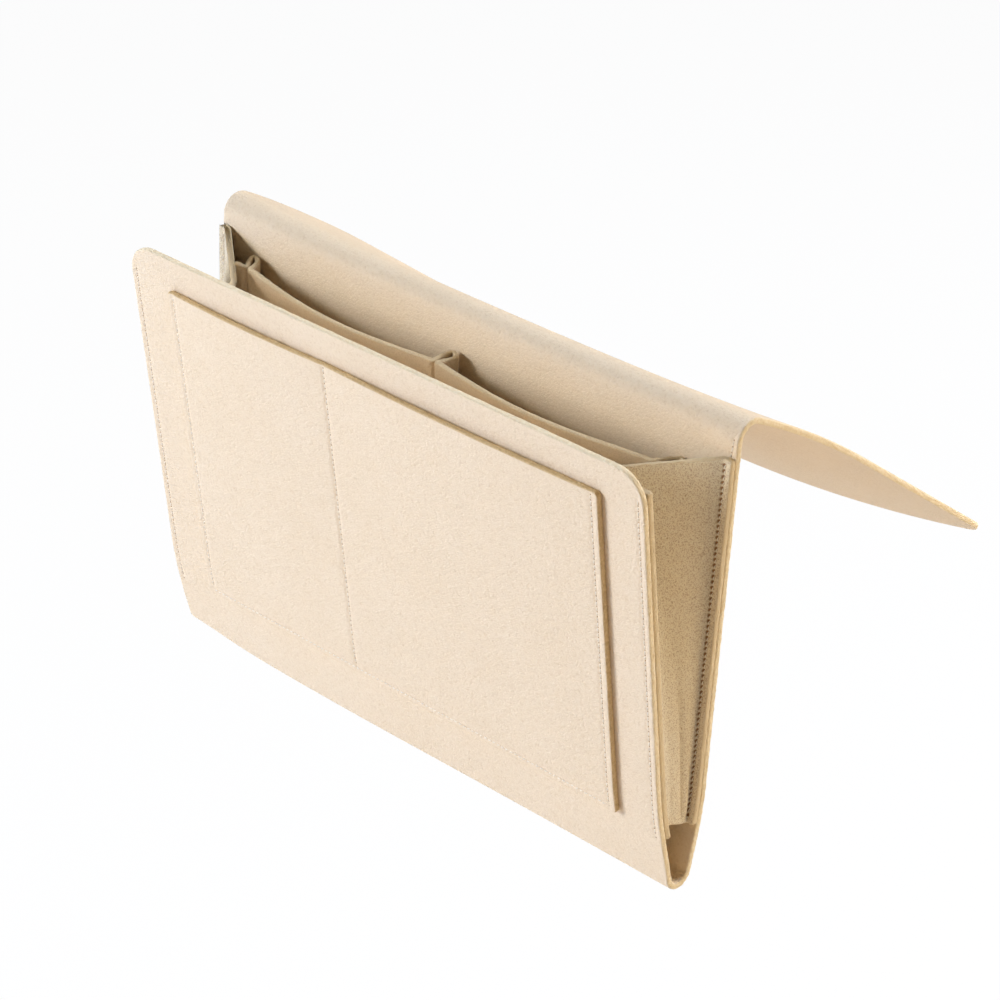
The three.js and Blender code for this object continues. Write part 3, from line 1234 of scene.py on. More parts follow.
@dataclass
class Caddy:
    """What all of the caddy's felts share: the side lines, the main heights, finishes and sewing.

    Args:
        sizes: The main felt's sizes.
        needle: The thread that it is sewn with.
        margin_seam: How far from the middle the side seams run.
        gusset_bottom: The height of the gussets' foot above the underside.
        gusset_top: The height of their top.
        divider_bottom: The height of the divider's foot above the underside.
        divider_top: The height of its top.
        pleats: The divider's pleats, from left to right.
        first_seed: The number from which the seams' seeds are counted.
    """

    sizes: MainSheet = MainSheet()
    needle: Thread = Thread()
    margin_seam: float = 156.6
    gusset_bottom: float = 31.0
    gusset_top: float = 209.0
    divider_bottom: float = 58.0
    divider_top: float = 203.5
    pleats: tuple[Pleat, ...] = (
        Pleat("left", front=-127.2, back=-134.3, depth=14.0, skew=2.0),
        Pleat("centre", front=-1.0, back=-1.5, depth=17.0, skew=3.6),
        Pleat("right", front=127.5, back=134.8, depth=14.5, skew=3.4),
    )
    first_seed: int = 40

    def __post_init__(self) -> None:
        """Draws the side lines and makes the finishes."""
        self.lower, self.upper = self.sizes.lower(), self.sizes.upper()
        self.fold_start, self.fold_end = (self.lower.stretches[number].start for number in (3, 4))
        self.thread = ThreadFinish().material()
        self.felts = {finish: finish.value.material() for finish in Finish}

    def down(self, height: float) -> float:
        """Gives the distance along the lower felt's back of a height above the underside."""
        return self.sizes.back_top - UNDERSIDE - height

    def up(self, height: float) -> float:
        """Gives the distance along the upper felt's back of a height above the underside."""
        return height + UNDERSIDE - self.sizes.back_top + self.sizes.join_depth

    def side_seams(self, word: str, start: float, end: float) -> list[Seam]:
        """Lists the left and the right margin's seam between two distances along a felt.

        Args:
            word: The seams' name, before the name of the side.
            start: Where they start.
            end: Where they end.

        Returns:
            The two seams.
        """
        ends = ((side * self.margin_seam, name) for name, side in SIDES)
        return [Seam(f"{word}_{name}", (x, start), (x, end)) for x, name in ends]

    def pleat_seams(self, word: str, start: float, end: float) -> list[Seam]:
        """Lists the seams that hold the pleats, between two distances along a felt.

        Args:
            word: The seams' name, after the name of the pleat.
            start: Where they start.
            end: Where they end.

        Returns:
            The three seams.
        """
        return [
            Seam(f"pleat_{pleat.name}_{word}", (pleat.back, start), (pleat.back, end))
            for pleat in self.pleats
        ]

    def sheet(
        self,
        felt: FeltSheet,
        flat: tuple[float, float],
        held: str,
        rests_on: Sequence[str],
        replaced: Sequence[str],
        finish: Finish = Finish.MAIN,
        area: float | None = None,
    ) -> bpy.types.Object:
        """Makes a felt, dresses it, hides the CAD nodes that it stands for and logs its cut.

        Args:
            felt: The felt to make.
            flat: The cut's width and length.
            held: How the felt is held; not used.
            rests_on: What it lies on or is sewn to; not used.
            replaced: The CAD nodes that it stands for.
            finish: Its finish.
            area: The cut's area in square millimetres where it isn't a rectangle; not used.

        Returns:
            The piece.
        """
        piece = felt.build()
        dress(piece, self.felts[finish])
        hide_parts(*replaced)
        cut = tuple(side * METRES for side in flat)
        log.info("%s: %d faces, cut %.0f x %.0f mm", felt.name, len(piece.data.polygons), *flat)
        return piece

    def sew(self, felt: FeltSheet, seams: Sequence[Seam], body: Body, side: Side) -> None:
        """Sews seams on one face of a felt.

        Args:
            felt: The felt that is sewn.
            seams: The seams on it.
            body: The body that the thread rides on.
            side: The face on which this thread lies.
        """
        for number, seam in enumerate(seams):
            thread = self.needle.sew(felt, seam, side, seed=self.first_seed + number)
            dress(thread, self.thread)
            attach(thread, body.value)
        log.info("%s: %d rows of stitches on its %s", felt.name, len(seams), side.name.lower())


def half_columns(seam: float) -> Points:
    """Lays out columns over the main felt's width, close together beside the side seams.

    Args:
        seam: How far from the middle the side seams run.

    Returns:
        The places across the felt.
    """
    wide, near, fine = 4.0, 1.2, 0.45
    away, groove = 6.0, 2.2
    edge = HALF_WIDTH - EDGE_ROUND
    right = spread(((0.0, 0), (seam - away, wide), (seam - groove, near), (seam, fine), (edge, fine)))
    return np.concatenate((-right[:0:-1], right))


def main_felt(
    name: str,
    middle: MiddleSurface,
    stops: Sequence[tuple[float, float]],
    corner: float,
    seams: Sequence[Seam],
    margin: float,
    seed: int,
) -> FeltSheet:
    """Lays out one part of the main felt, from the join to its rounded end.

    Args:
        name: The piece's name.
        middle: Gives the middle surface's place for each pair of coordinates.
        stops: The stops along it, with the spacing up to each and the felt's whole length last.
        corner: The radius of its corners.
        seams: The seams that draw it in.
        margin: How far from the middle its side seams run.
        seed: Picks the unevenness of the cut.

    Returns:
        The felt.
    """
    inner = corner - EDGE_ROUND
    *others, (total, spacing) = stops
    straight = spread((*others, (total - EDGE_ROUND - inner, spacing)))
    u, v = between_sides(half_columns(margin), *corner_rows(straight, 0.0, inner))
    return FeltSheet(name, middle, u, v, seams, joined=True, seed=seed)


@dataclass
class LowerFelt:
    """The front panel, bottom fold and back panel, as one felt sewn at both sides.

    Args:
        caddy: The whole caddy.
        margin_top: How far below the front's top edge its side seams start.
        margin_bottom: How far below that edge they end.
        back_seam_foot: How far above the gussets' foot the back's seams end.
        flange_top: How far below the gussets' top the seams inside start.
        pleat_foot: How far above the underside the pleats' seams end.
        panel_rows: The spacing of the rows on the back panel.
        fold_rows: Their spacing round the fold.
        front_rows: Their spacing on the front panel.
        hinge_reach: How far on each side of the fold's middle the front's motion fades in; not used.
    """

    caddy: Caddy
    margin_top: float = 12.0
    margin_bottom: float = 190.0
    back_seam_foot: float = 2.0
    flange_top: float = 1.5
    pleat_foot: float = 61.0
    panel_rows: float = 1.6
    fold_rows: float = 0.7
    front_rows: float = 0.9
    hinge_reach: float = 6.0

    def middle(self, u: Points, v: Points) -> Points:
        """Gives the middle surface."""
        return self.caddy.lower.laid(u, v)

    def flange(self, u: Points, v: Points) -> Points:
        """Gives the middle surface of the gusset flanges that lie on the felt's inner face."""
        return self.caddy.lower.laid(u, v, -LAYER)

    def build(self) -> bpy.types.Object:
        """Makes the felt and its stitches."""
        caddy = self.caddy
        line, sizes = caddy.lower, caddy.sizes
        foot = line.where(UNDERSIDE + caddy.gusset_bottom + self.back_seam_foot, caddy.fold_start, 0.0)
        front_start, front_end = line.total - self.margin_top, line.total - self.margin_bottom
        front = caddy.side_seams("front", front_start, front_end)
        back = caddy.side_seams("back", sizes.join_depth, foot)
        felt = self.felt((*front, *back))
        cut = (CADDY_WIDTH, line.total - sizes.join_depth)
        piece = caddy.sheet(felt, cut, "folded", (), ("back_panel", "bottom_fold", "front_panel"))
        self.hinge(piece)
        caddy.sew(felt, front, Body.FRONT, Side.TOP)
        pleats = caddy.pleat_seams("low", sizes.join_depth, caddy.down(self.pleat_foot))
        caddy.sew(felt, (*back, *pleats), Body.BACK, Side.TOP)
        back_start = caddy.down(caddy.gusset_top) + self.flange_top
        flange_back = caddy.side_seams("flange_back", back_start, foot)
        flange_front = caddy.side_seams("flange_front", front_start, front_end)
        flange = FeltSheet("flange", self.flange, felt.u, felt.v, (*flange_back, *flange_front))
        caddy.sew(flange, flange_back, Body.BACK, Side.UNDER)
        caddy.sew(flange, flange_front, Body.FRONT, Side.UNDER)
        return piece

    def felt(self, seams: Sequence[Seam]) -> FeltSheet:
        """Lays out the felt.

        Args:
            seams: The seams that draw it in.

        Returns:
            The felt.
        """
        caddy, corner = self.caddy, self.caddy.sizes.front_corner
        stops = (
            (caddy.sizes.join_depth, 0),
            (caddy.fold_start, self.panel_rows),
            (caddy.fold_end, self.fold_rows),
            (caddy.lower.total, self.front_rows),
        )
        return main_felt("lower_felt", self.middle, stops, corner, seams, caddy.margin_seam, seed=3)

    def hinge(self, piece: bpy.types.Object) -> None:
        """Bakes the felt's placement into its mesh.

        Args:
            piece: The felt.
        """
        middle = self.caddy.lower.spot((self.caddy.fold_start + self.caddy.fold_end) / 2)
        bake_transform(piece)


@dataclass
class UpperFelt:
    """The bend over the mattress edge and the flap that goes under the mattress.

    Args:
        caddy: The whole caddy.
        seam_above: How far above the gusset the right seam shows on the bend.
        seam_lean: How far it leans outward over that length.
        pleat_top: How far below the divider's top the pleats' seams end.
        panel_rows: The spacing of the rows on the back panel.
        bend_rows: Their spacing round the bend.
        near_rows: Their spacing just past it.
        near_length: How far past the bend these reach.
        flap_rows: Their spacing on the flap.
        hinge_start: How far into the bend the flap's motion starts to fade in.
        hinge_end: How far before the bend's end it is all there.
    """

    caddy: Caddy
    seam_above: float = 9.0
    seam_lean: float = 0.7
    pleat_top: float = 3.0
    panel_rows: float = 1.2
    bend_rows: float = 0.8
    near_rows: float = 1.5
    near_length: float = 6.0
    flap_rows: float = 3.0
    hinge_start: float = 2.0
    hinge_end: float = 1.0

    def middle(self, u: Points, v: Points) -> Points:
        """Lays the middle surface, which sags between its side edges.

        Args:
            u: The places across the felt.
            v: The distances along it.

        Returns:
            The middle surface's places.
        """
        sizes, line = self.caddy.sizes, self.caddy.upper
        along = np.clip((v - sizes.join_depth) / (line.total - sizes.join_depth), 0.0, 1.0)
        across = 1.0 - (u / HALF_WIDTH) ** 2
        places = line.laid(u, v)
        places[..., 2] -= sizes.flap_sag * (1.0 - (1.0 - along) ** sizes.flap_sag_power) * across
        return places

    def build(self) -> bpy.types.Object:
        """Makes the felt and the ends of the gusset seams on it."""
        caddy = self.caddy
        line = caddy.upper
        x, top = caddy.margin_seam, caddy.up(caddy.gusset_top)
        hidden = caddy.side_seams("upper", 0.0, top)
        shown = [Seam("bend_right", (x, top), (x + self.seam_lean, top + self.seam_above))]
        pleats = caddy.pleat_seams("high", 0.0, caddy.up(caddy.divider_top) - self.pleat_top)
        felt = self.felt((*hidden, *shown))
        piece = caddy.sheet(felt, (CADDY_WIDTH, line.total), "draped", (), ("top_bend", "mattress_flap"))
        self.hinge(piece)
        caddy.sew(felt, (*hidden, *shown, *pleats), Body.BACK, Side.UNDER)
        caddy.sew(felt, shown, Body.BACK, Side.TOP)
        return piece

    def felt(self, seams: Sequence[Seam]) -> FeltSheet:
        """Lays out the felt.

        Args:
            seams: The seams that draw it in.

        Returns:
            The felt.
        """
        caddy, sizes = self.caddy, self.caddy.sizes
        stops = (
            (0.0, 0),
            (sizes.join_depth, self.panel_rows),
            (sizes.bend_end, self.bend_rows),
            (sizes.bend_end + self.near_length, self.near_rows),
            (caddy.upper.total, self.flap_rows),
        )
        corner = sizes.flap_corner
        return main_felt("upper_felt", self.middle, stops, corner, seams, caddy.margin_seam, seed=5)

    def hinge(self, piece: bpy.types.Object) -> None:
        """Bakes the felt's placement into its mesh.

        Args:
            piece: The felt.
        """
        sizes = self.caddy.sizes
        ends = (sizes.join_depth + self.hinge_start, sizes.bend_end - self.hinge_end)
        places = (self.caddy.upper.spot(end)[:2] for end in ends)
        start, end = ((0.0, y * METRES, z * METRES) for y, z in places)
        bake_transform(piece)


@dataclass
class FrontPocket:
    """The outer pocket panel, sewn on along its sides, its foot and one upright seam.

    Args:
        caddy: The whole caddy.
        width: The panel's width.
        shift: How far right of the middle it is sewn on.
        top_margin: How far below the front's top edge it starts.
        height: The panel's height.
        bulge: How far it stands off the front between its seams.
        bulge_power: How full the bulge is, where less than 1 is fuller.
        seam_inset: How far inside the panel's sides the seams run.
        seam_top: How far below the panel's top they start.
        foot_inset: How far above its foot the lower seam runs.
        upright: Where the upright seam runs.
        upright_depth: How deep that seam draws the felt in.
        left_hole: The radius of the painted shade at the needle holes on the left.
        foot_hole: The radius of the painted shade at the needle holes at the foot.
        corner: The radius of the panel's corners.
        groove: How far beside a seam the grid is fine.
        near: How far beside a side seam it is still close.
        upright_near: How far beside the upright seam it is still close.
        edge_step: The grid's spacing at the panel's side edges.
        fine_step: Its spacing beside a seam.
        close_step: Its spacing near the upright seam.
        side_step: Its spacing near the side seams.
        wide_step: Its spacing in between.
        row_step: The spacing of its rows.
    """

    caddy: Caddy
    width: float = 269.0
    shift: float = 2.5
    top_margin: float = 15.2
    height: float = 169.5
    bulge: float = 1.4
    bulge_power: float = 0.8
    seam_inset: float = 4.0
    seam_top: float = 2.0
    foot_inset: float = 2.9
    upright: float = -27.5
    upright_depth: float = 0.6
    left_hole: float = 0.22
    foot_hole: float = 0.12
    corner: float = 1.6
    groove: float = 2.4
    near: float = 8.0
    upright_near: float = 7.0
    edge_step: float = 0.45
    fine_step: float = 0.4
    close_step: float = 1.0
    side_step: float = 1.2
    wide_step: float = 3.5
    row_step: float = 0.9

    @property
    def top(self) -> float:
        """The pocket's top edge along the front panel."""
        return self.caddy.lower.total - self.top_margin

    @property
    def foot(self) -> float:
        """The pocket's lower edge along the front panel."""
        return self.top - self.height

    @property
    def left(self) -> float:
        """Where the left seam runs."""
        return self.shift - self.width / 2 + self.seam_inset

    @property
    def right(self) -> float:
        """Where the right seam runs."""
        return self.shift + self.width / 2 - self.seam_inset

    def middle(self, u: Points, v: Points) -> Points:
        """Lays the middle surface, which stands off the front panel between its seams.

        Args:
            u: The places across the felt.
            v: The distances along the front panel's felt.

        Returns:
            The middle surface's places.
        """
        left, right, upright = self.left, self.right, self.upright
        beside = np.where(u < upright, (u - left) / (upright - left), (u - upright) / (right - upright))
        hollow = np.sin(math.pi * np.clip(beside, 0.0, 1.0)) ** self.bulge_power
        share = smooth((v - self.top + self.height) / self.height)
        return self.caddy.lower.laid(u, v, LAYER + self.bulge * hollow * share)

    def seams(self) -> list[Seam]:
        """Lists the pocket's seams."""
        top, low = self.top - self.seam_top, self.foot + self.foot_inset
        return [
            Seam("pocket_left", (self.left, top), (self.left, low), hole=self.left_hole),
            Seam("pocket_right", (self.right, top), (self.right, low)),
            Seam("pocket_foot", (self.left, low), (self.right, low), hole=self.foot_hole),
            Seam("pocket_upright", (self.upright, top), (self.upright, low), depth=self.upright_depth),
        ]

    def grid(self) -> tuple[Points, Points]:
        """Lays out the grid, fine beside the seams."""
        half = self.width / 2 - EDGE_ROUND
        low = self.foot + self.foot_inset
        first, last = self.foot + EDGE_ROUND + self.corner, self.top - EDGE_ROUND - self.corner
        fine, groove = self.fine_step, self.groove
        rows = spread(((first, 0), (low, fine), (low + groove, fine), (last, self.row_step)))
        columns = spread(
            (
                (self.shift - half, 0),
                (self.left, self.edge_step),
                (self.left + groove, fine),
                (self.left + self.near, self.side_step),
                (self.upright - self.upright_near, self.wide_step),
                (self.upright - groove, self.close_step),
                (self.upright, fine),
                (self.upright + groove, fine),
                (self.upright + self.upright_near, self.close_step),
                (self.right - self.near, self.wide_step),
                (self.right - groove, self.side_step),
                (self.right, fine),
                (self.shift + half, self.edge_step),
            )
        )
        return between_sides(columns, *corner_rows(rows, self.corner, self.corner), self.shift)

    def build(self) -> bpy.types.Object:
        """Makes the pocket panel and sews it on."""
        seams = self.seams()
        felt = FeltSheet("pocket_felt", self.middle, *self.grid(), seams, seed=7)
        cut = (self.width, self.height)
        piece = self.caddy.sheet(felt, cut, "laid", ("lower_felt",), ("front_pocket",), Finish.POCKET)
        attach(piece, Body.FRONT.value)
        self.caddy.sew(felt, seams, Body.FRONT, Side.TOP)
        return piece


def between(one: Points, other: Points) -> float:
    """Gives the angle between two directions."""
    return math.acos(float(np.clip(np.dot(unit(one), unit(other)), -1.0, 1.0)))


def rounded_line(points: Sequence[Points], reaches: Sequence[float], steps: int) -> Points:
    """Rounds the inner points of an open line.

    Args:
        points: The line's corners.
        reaches: How far along the straights each bend starts from its corner.
        steps: How many steps each bend takes.

    Returns:
        The rounded line, always with the same number of points.
    """
    line = [points[0]]
    shares = np.linspace(0.0, 1.0, steps + 1)
    for before, corner, after, reach in zip(points, points[1:], points[2:], reaches):
        back, forth = before - corner, after - corner
        weight = math.sin(between(back, forth) / 2)
        reach = min(reach, np.linalg.norm(back) / 2, np.linalg.norm(forth) / 2)
        start, end = corner + unit(back) * reach, corner + unit(forth) * reach
        for t in shares:
            a, c, b = (1 - t) ** 2, 2 * weight * t * (1 - t), t**2
            line.append((start * a + corner * c + end * b) / (a + c + b))
    line.append(points[-1])
    return np.array(line)


def refine(line: Points, cuts: Sequence[int]) -> Points:
    """Cuts each stretch of a line into even steps.

    Args:
        line: The line's points.
        cuts: How many steps each stretch is cut into.

    Returns:
        The finer line.
    """
    fine = [line[:1]]
    for a, b, amount in zip(line[:-1], line[1:], cuts, strict=True):
        fine.append(a + (b - a) * np.linspace(0, 1, amount + 1)[1:, None])
    return np.concatenate(fine)


def drawn_on(grid: Points) -> Points:
    """Draws a grid's rows on by one past each end."""
    return np.concatenate((2 * grid[:1] - grid[1:2], grid, 2 * grid[-1:] - grid[-2:-1]))


class GridSurface:
    """A smooth surface through a grid of places, looked up by column and row."""

    def __init__(self, levels: Sequence[Points]) -> None:
        """Keeps the grid, with one more row and column drawn on past each edge.

        Args:
            levels: The places along each row, from the lowest.
        """
        grid = np.array(levels)
        self.rows, self.columns = grid.shape[:2]
        self.grid = drawn_on(drawn_on(grid).swapaxes(0, 1)).swapaxes(0, 1)

    def numbers(self) -> tuple[Points, Points]:
        """Gives the column and the row number at each grid place."""
        rows, columns = np.arange(self.rows, dtype=float), np.arange(self.columns, dtype=float)
        v, u = np.meshgrid(rows, columns, indexing="ij")
        return u, v

    def at(self, u: Points, v: Points) -> Points:
        """Looks up places, evenly between the grid's own.

        Args:
            u: Their column numbers.
            v: Their row numbers.

        Returns:
            The places.
        """
        u, v = np.broadcast_arrays(np.asarray(u, float) + 1, np.asarray(v, float) + 1)
        c = np.clip(np.floor(u).astype(int), 0, self.grid.shape[1] - 2)
        r = np.clip(np.floor(v).astype(int), 0, self.grid.shape[0] - 2)
        fu, fv = (u - c)[..., None], (v - r)[..., None]
        low = self.grid[r, c] * (1 - fu) + self.grid[r, c + 1] * fu
        high = self.grid[r + 1, c] * (1 - fu) + self.grid[r + 1, c + 1] * fu
        return low * (1 - fv) + high * fv


@dataclass
class Gusset:
    """A side gusset: a wall folded inward, with a narrow flange sewn to each panel.

    Args:
        caddy: The whole caddy.
        name: The CAD node that it stands for.
        side: Which side it is on: -1 for the left, 1 for the right.
        droop: How far the middle of its top edge hangs below the ends.
        rise: How much higher than drawn its top is sewn on.
        hole: The radius of the painted shade at its needle holes and beside its stitches.
        foot_rise: How much higher its wall's foot ends at the front.
        seam_place: How far from the middle the flanges' seams run.
        seam_foot: How far above the foot they start.
        seam_top: How far below the top they end.
        seam_depth: How deep they draw the flanges in.
        seam_width: How wide their groove is.
        flange: The flanges' width.
        wall_fade: Over how many gaps between felts the wall passes into a flange.
        corner: How far from the corner a flange starts to bend into the wall.
        fold_depth: How far inward the fold reaches at the top.
        fold_power: How fast it gets shallower towards the foot.
        fold_reach: How far from its edge the fold starts to bend.
        fold_share: Where the fold lies between the back and the front panel.
        bend_steps: How many steps a bend takes.
        crease_depth: How deep the creases at the foot are.
        crease_foot: How far up they come in, as a share of the height.
        crease_top: How far up they run.
        crease_start: How far in from the flanges' edges they lie, as a share of the width.
        crease_fade: Over how much of the width they come in.
        creases: How many there are.
        crease_drift: How far they lean.
        fine_creases: How many times as many finer ones there are.
        fine_drift: How far these lean the other way.
        fine_share: How deep they are, as a share of the others.
        levels: How many levels the gusset is drawn at.
        cuts: How many columns each stretch of a level has.
        top_share: How much the top's width counts in the felt's flat area.
        hinge: Between which depths the front's motion fades in; not used.
    """

    caddy: Caddy
    name: str
    side: float
    droop: float
    rise: float = 0.0
    hole: float = 1.15
    foot_rise: float = 4.2
    seam_place: float = 155.9
    seam_foot: float = 3.0
    seam_top: float = 2.0
    seam_depth: float = 1.0
    seam_width: float = 1.0
    flange: float = 5.0
    wall_fade: float = 4.0
    corner: float = 2.4
    fold_depth: float = 41.0
    fold_power: float = 1.8
    fold_reach: float = 9.0
    fold_share: float = 0.62
    bend_steps: int = 4
    crease_depth: float = 0.55
    crease_foot: float = 0.05
    crease_top: float = 0.72
    crease_start: float = 0.12
    crease_fade: float = 0.15
    creases: float = 4.3
    crease_drift: float = 0.05
    fine_creases: float = 1.7
    fine_drift: float = 0.08
    fine_share: float = 0.5
    levels: int = 150
    cuts: tuple[int, ...] = (5, 1, 1, 1, 1, 22, 1, 1, 1, 1, 18, 1, 1, 1, 1, 5)
    top_share: float = 0.62
    hinge: tuple[float, float] = (-7.0, -33.0)

    def height(self, share: float) -> float:
        """Gives the height of one level at the flanges."""
        bottom, top = self.caddy.gusset_bottom, self.caddy.gusset_top
        return UNDERSIDE + bottom + (top - bottom + self.rise) * share

    def corners(self, share: float) -> list[Points]:
        """Gives the gusset's corners in plan at one level.

        Args:
            share: The level, from 0 at the foot to 1 at the top.

        Returns:
            The corners, from the back panel's edge to the front panel's.
        """
        caddy, height = self.caddy, self.height(share)
        line = caddy.lower
        back = line.spot(line.where(height, caddy.fold_start, 0.0))
        front = line.spot(line.where(height, caddy.fold_end, line.total))
        back_y, front_y = back[0] - LAYER / abs(back[2]), front[0] + LAYER / abs(front[2])
        wall = HALF_WIDTH - self.flange
        apex = wall - self.fold_depth * share**self.fold_power
        edge = HALF_WIDTH - EDGE_ROUND
        middle = back_y + (front_y - back_y) * self.fold_share
        places = ((edge, back_y), (wall, back_y), (apex, middle), (wall, front_y), (edge, front_y))
        return [np.array(place) for place in places]

    def level(self, share: float) -> Points:
        """Gives the gusset's line at one level, with its middle hanging a little lower.

        Args:
            share: The level, from 0 at the foot to 1 at the top.

        Returns:
            The line's places.
        """
        corners = self.corners(share)
        line = rounded_line(corners, (self.corner, self.fold_reach, self.corner), self.bend_steps)
        plan = self.creased(refine(line, self.cuts), share)
        back, front = corners[1], corners[3]
        inward = np.maximum((back[0] - plan[:, 0]) / self.fold_depth, 0.0)
        frontward = (back[1] - plan[:, 1]) / (back[1] - front[1])
        wall = smooth(1.0 - (plan[:, 0] - back[0]) / FELT_GAP / self.wall_fade)
        foot = self.foot_rise * (1.0 - share) ** 3 * smooth(frontward) * wall
        height = self.height(share) - self.droop * inward * share + foot
        return np.column_stack((plan[:, 0] * self.side, plan[:, 1], height))

    def creased(self, plan: Points, share: float) -> Points:
        """Adds the soft upright creases that run up from the gusset's foot.

        Args:
            plan: The gusset's line at one level.
            share: The level.

        Returns:
            The creased line.
        """
        steps = np.linalg.norm(np.diff(plan, axis=0), axis=1)
        along = np.concatenate(([0.0], np.cumsum(steps)))
        along /= along[-1]
        tangent = unit(np.gradient(plan, axis=0))
        begun = smooth((along - self.crease_start) / self.crease_fade)
        left = smooth((1.0 - self.crease_start - along) / self.crease_fade)
        above = smooth(np.array(1.0 - share / self.crease_top))
        fade = above * smooth(np.array(share / self.crease_foot))
        turns = 2 * math.pi * self.creases
        fine = turns * self.fine_creases * (along - self.fine_drift * share) + self.side
        wave = np.sin(turns * (along + self.crease_drift * share)) + self.fine_share * np.sin(fine)
        depth = self.crease_depth * fade * (begun * left) * wave
        return plan + np.column_stack((-tangent[:, 1], tangent[:, 0])) * depth[:, None]

    def flange_chart(self, place: GridSurface) -> Chart:
        """Makes the chart for the seams on the flanges.

        Args:
            place: The gusset's middle surface.

        Returns:
            A function that gives the distance outward and the height, with the wall far off.
        """
        flange_cuts = sum(self.cuts[: self.bend_steps + 1])
        last = sum(self.cuts)

        def chart(u: Points, v: Points) -> tuple[Points, Points]:
            """Looks up both coordinates.

            Args:
                u: The column numbers.
                v: The row numbers.

            Returns:
                The distances outward and the heights.
            """
            points = place.at(u, v)
            on_flange = (u <= flange_cuts) | (u >= last - flange_cuts)
            return np.where(on_flange, np.abs(points[..., 0]), 0.0), points[..., 2]

        return chart

    def seam(self) -> Seam:
        """Gives the seam on both flanges, by the distance outward and the height."""
        bottom, top = self.caddy.gusset_bottom + self.seam_foot, self.caddy.gusset_top - self.seam_top
        ends = (self.seam_place, UNDERSIDE + bottom), (self.seam_place, UNDERSIDE + top)
        return Seam("flange", *ends, depth=self.seam_depth, width=self.seam_width, hole=self.hole)

    def build(self) -> bpy.types.Object:
        """Makes the gusset."""
        lines = [self.level(share) for share in np.linspace(0.0, 1.0, self.levels)]
        place = GridSurface(lines)
        u, v = place.numbers()
        if self.side < 0:
            u = u[:, ::-1]
        chart, seed = self.flange_chart(place), 12 + int(self.side)
        felt = FeltSheet(self.name, place.at, u, v, (self.seam(),), chart=chart, seed=seed)
        width, foot = run_length(lines[-1]), run_length(lines[0])
        height = self.caddy.gusset_top - self.caddy.gusset_bottom
        area = (width * self.top_share + foot * (1.0 - self.top_share)) * height
        cut = (width, height)
        piece = self.caddy.sheet(felt, cut, "folded", ("lower_felt",), (self.name,), Finish.GUSSET, area)
        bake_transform(piece)
        return piece


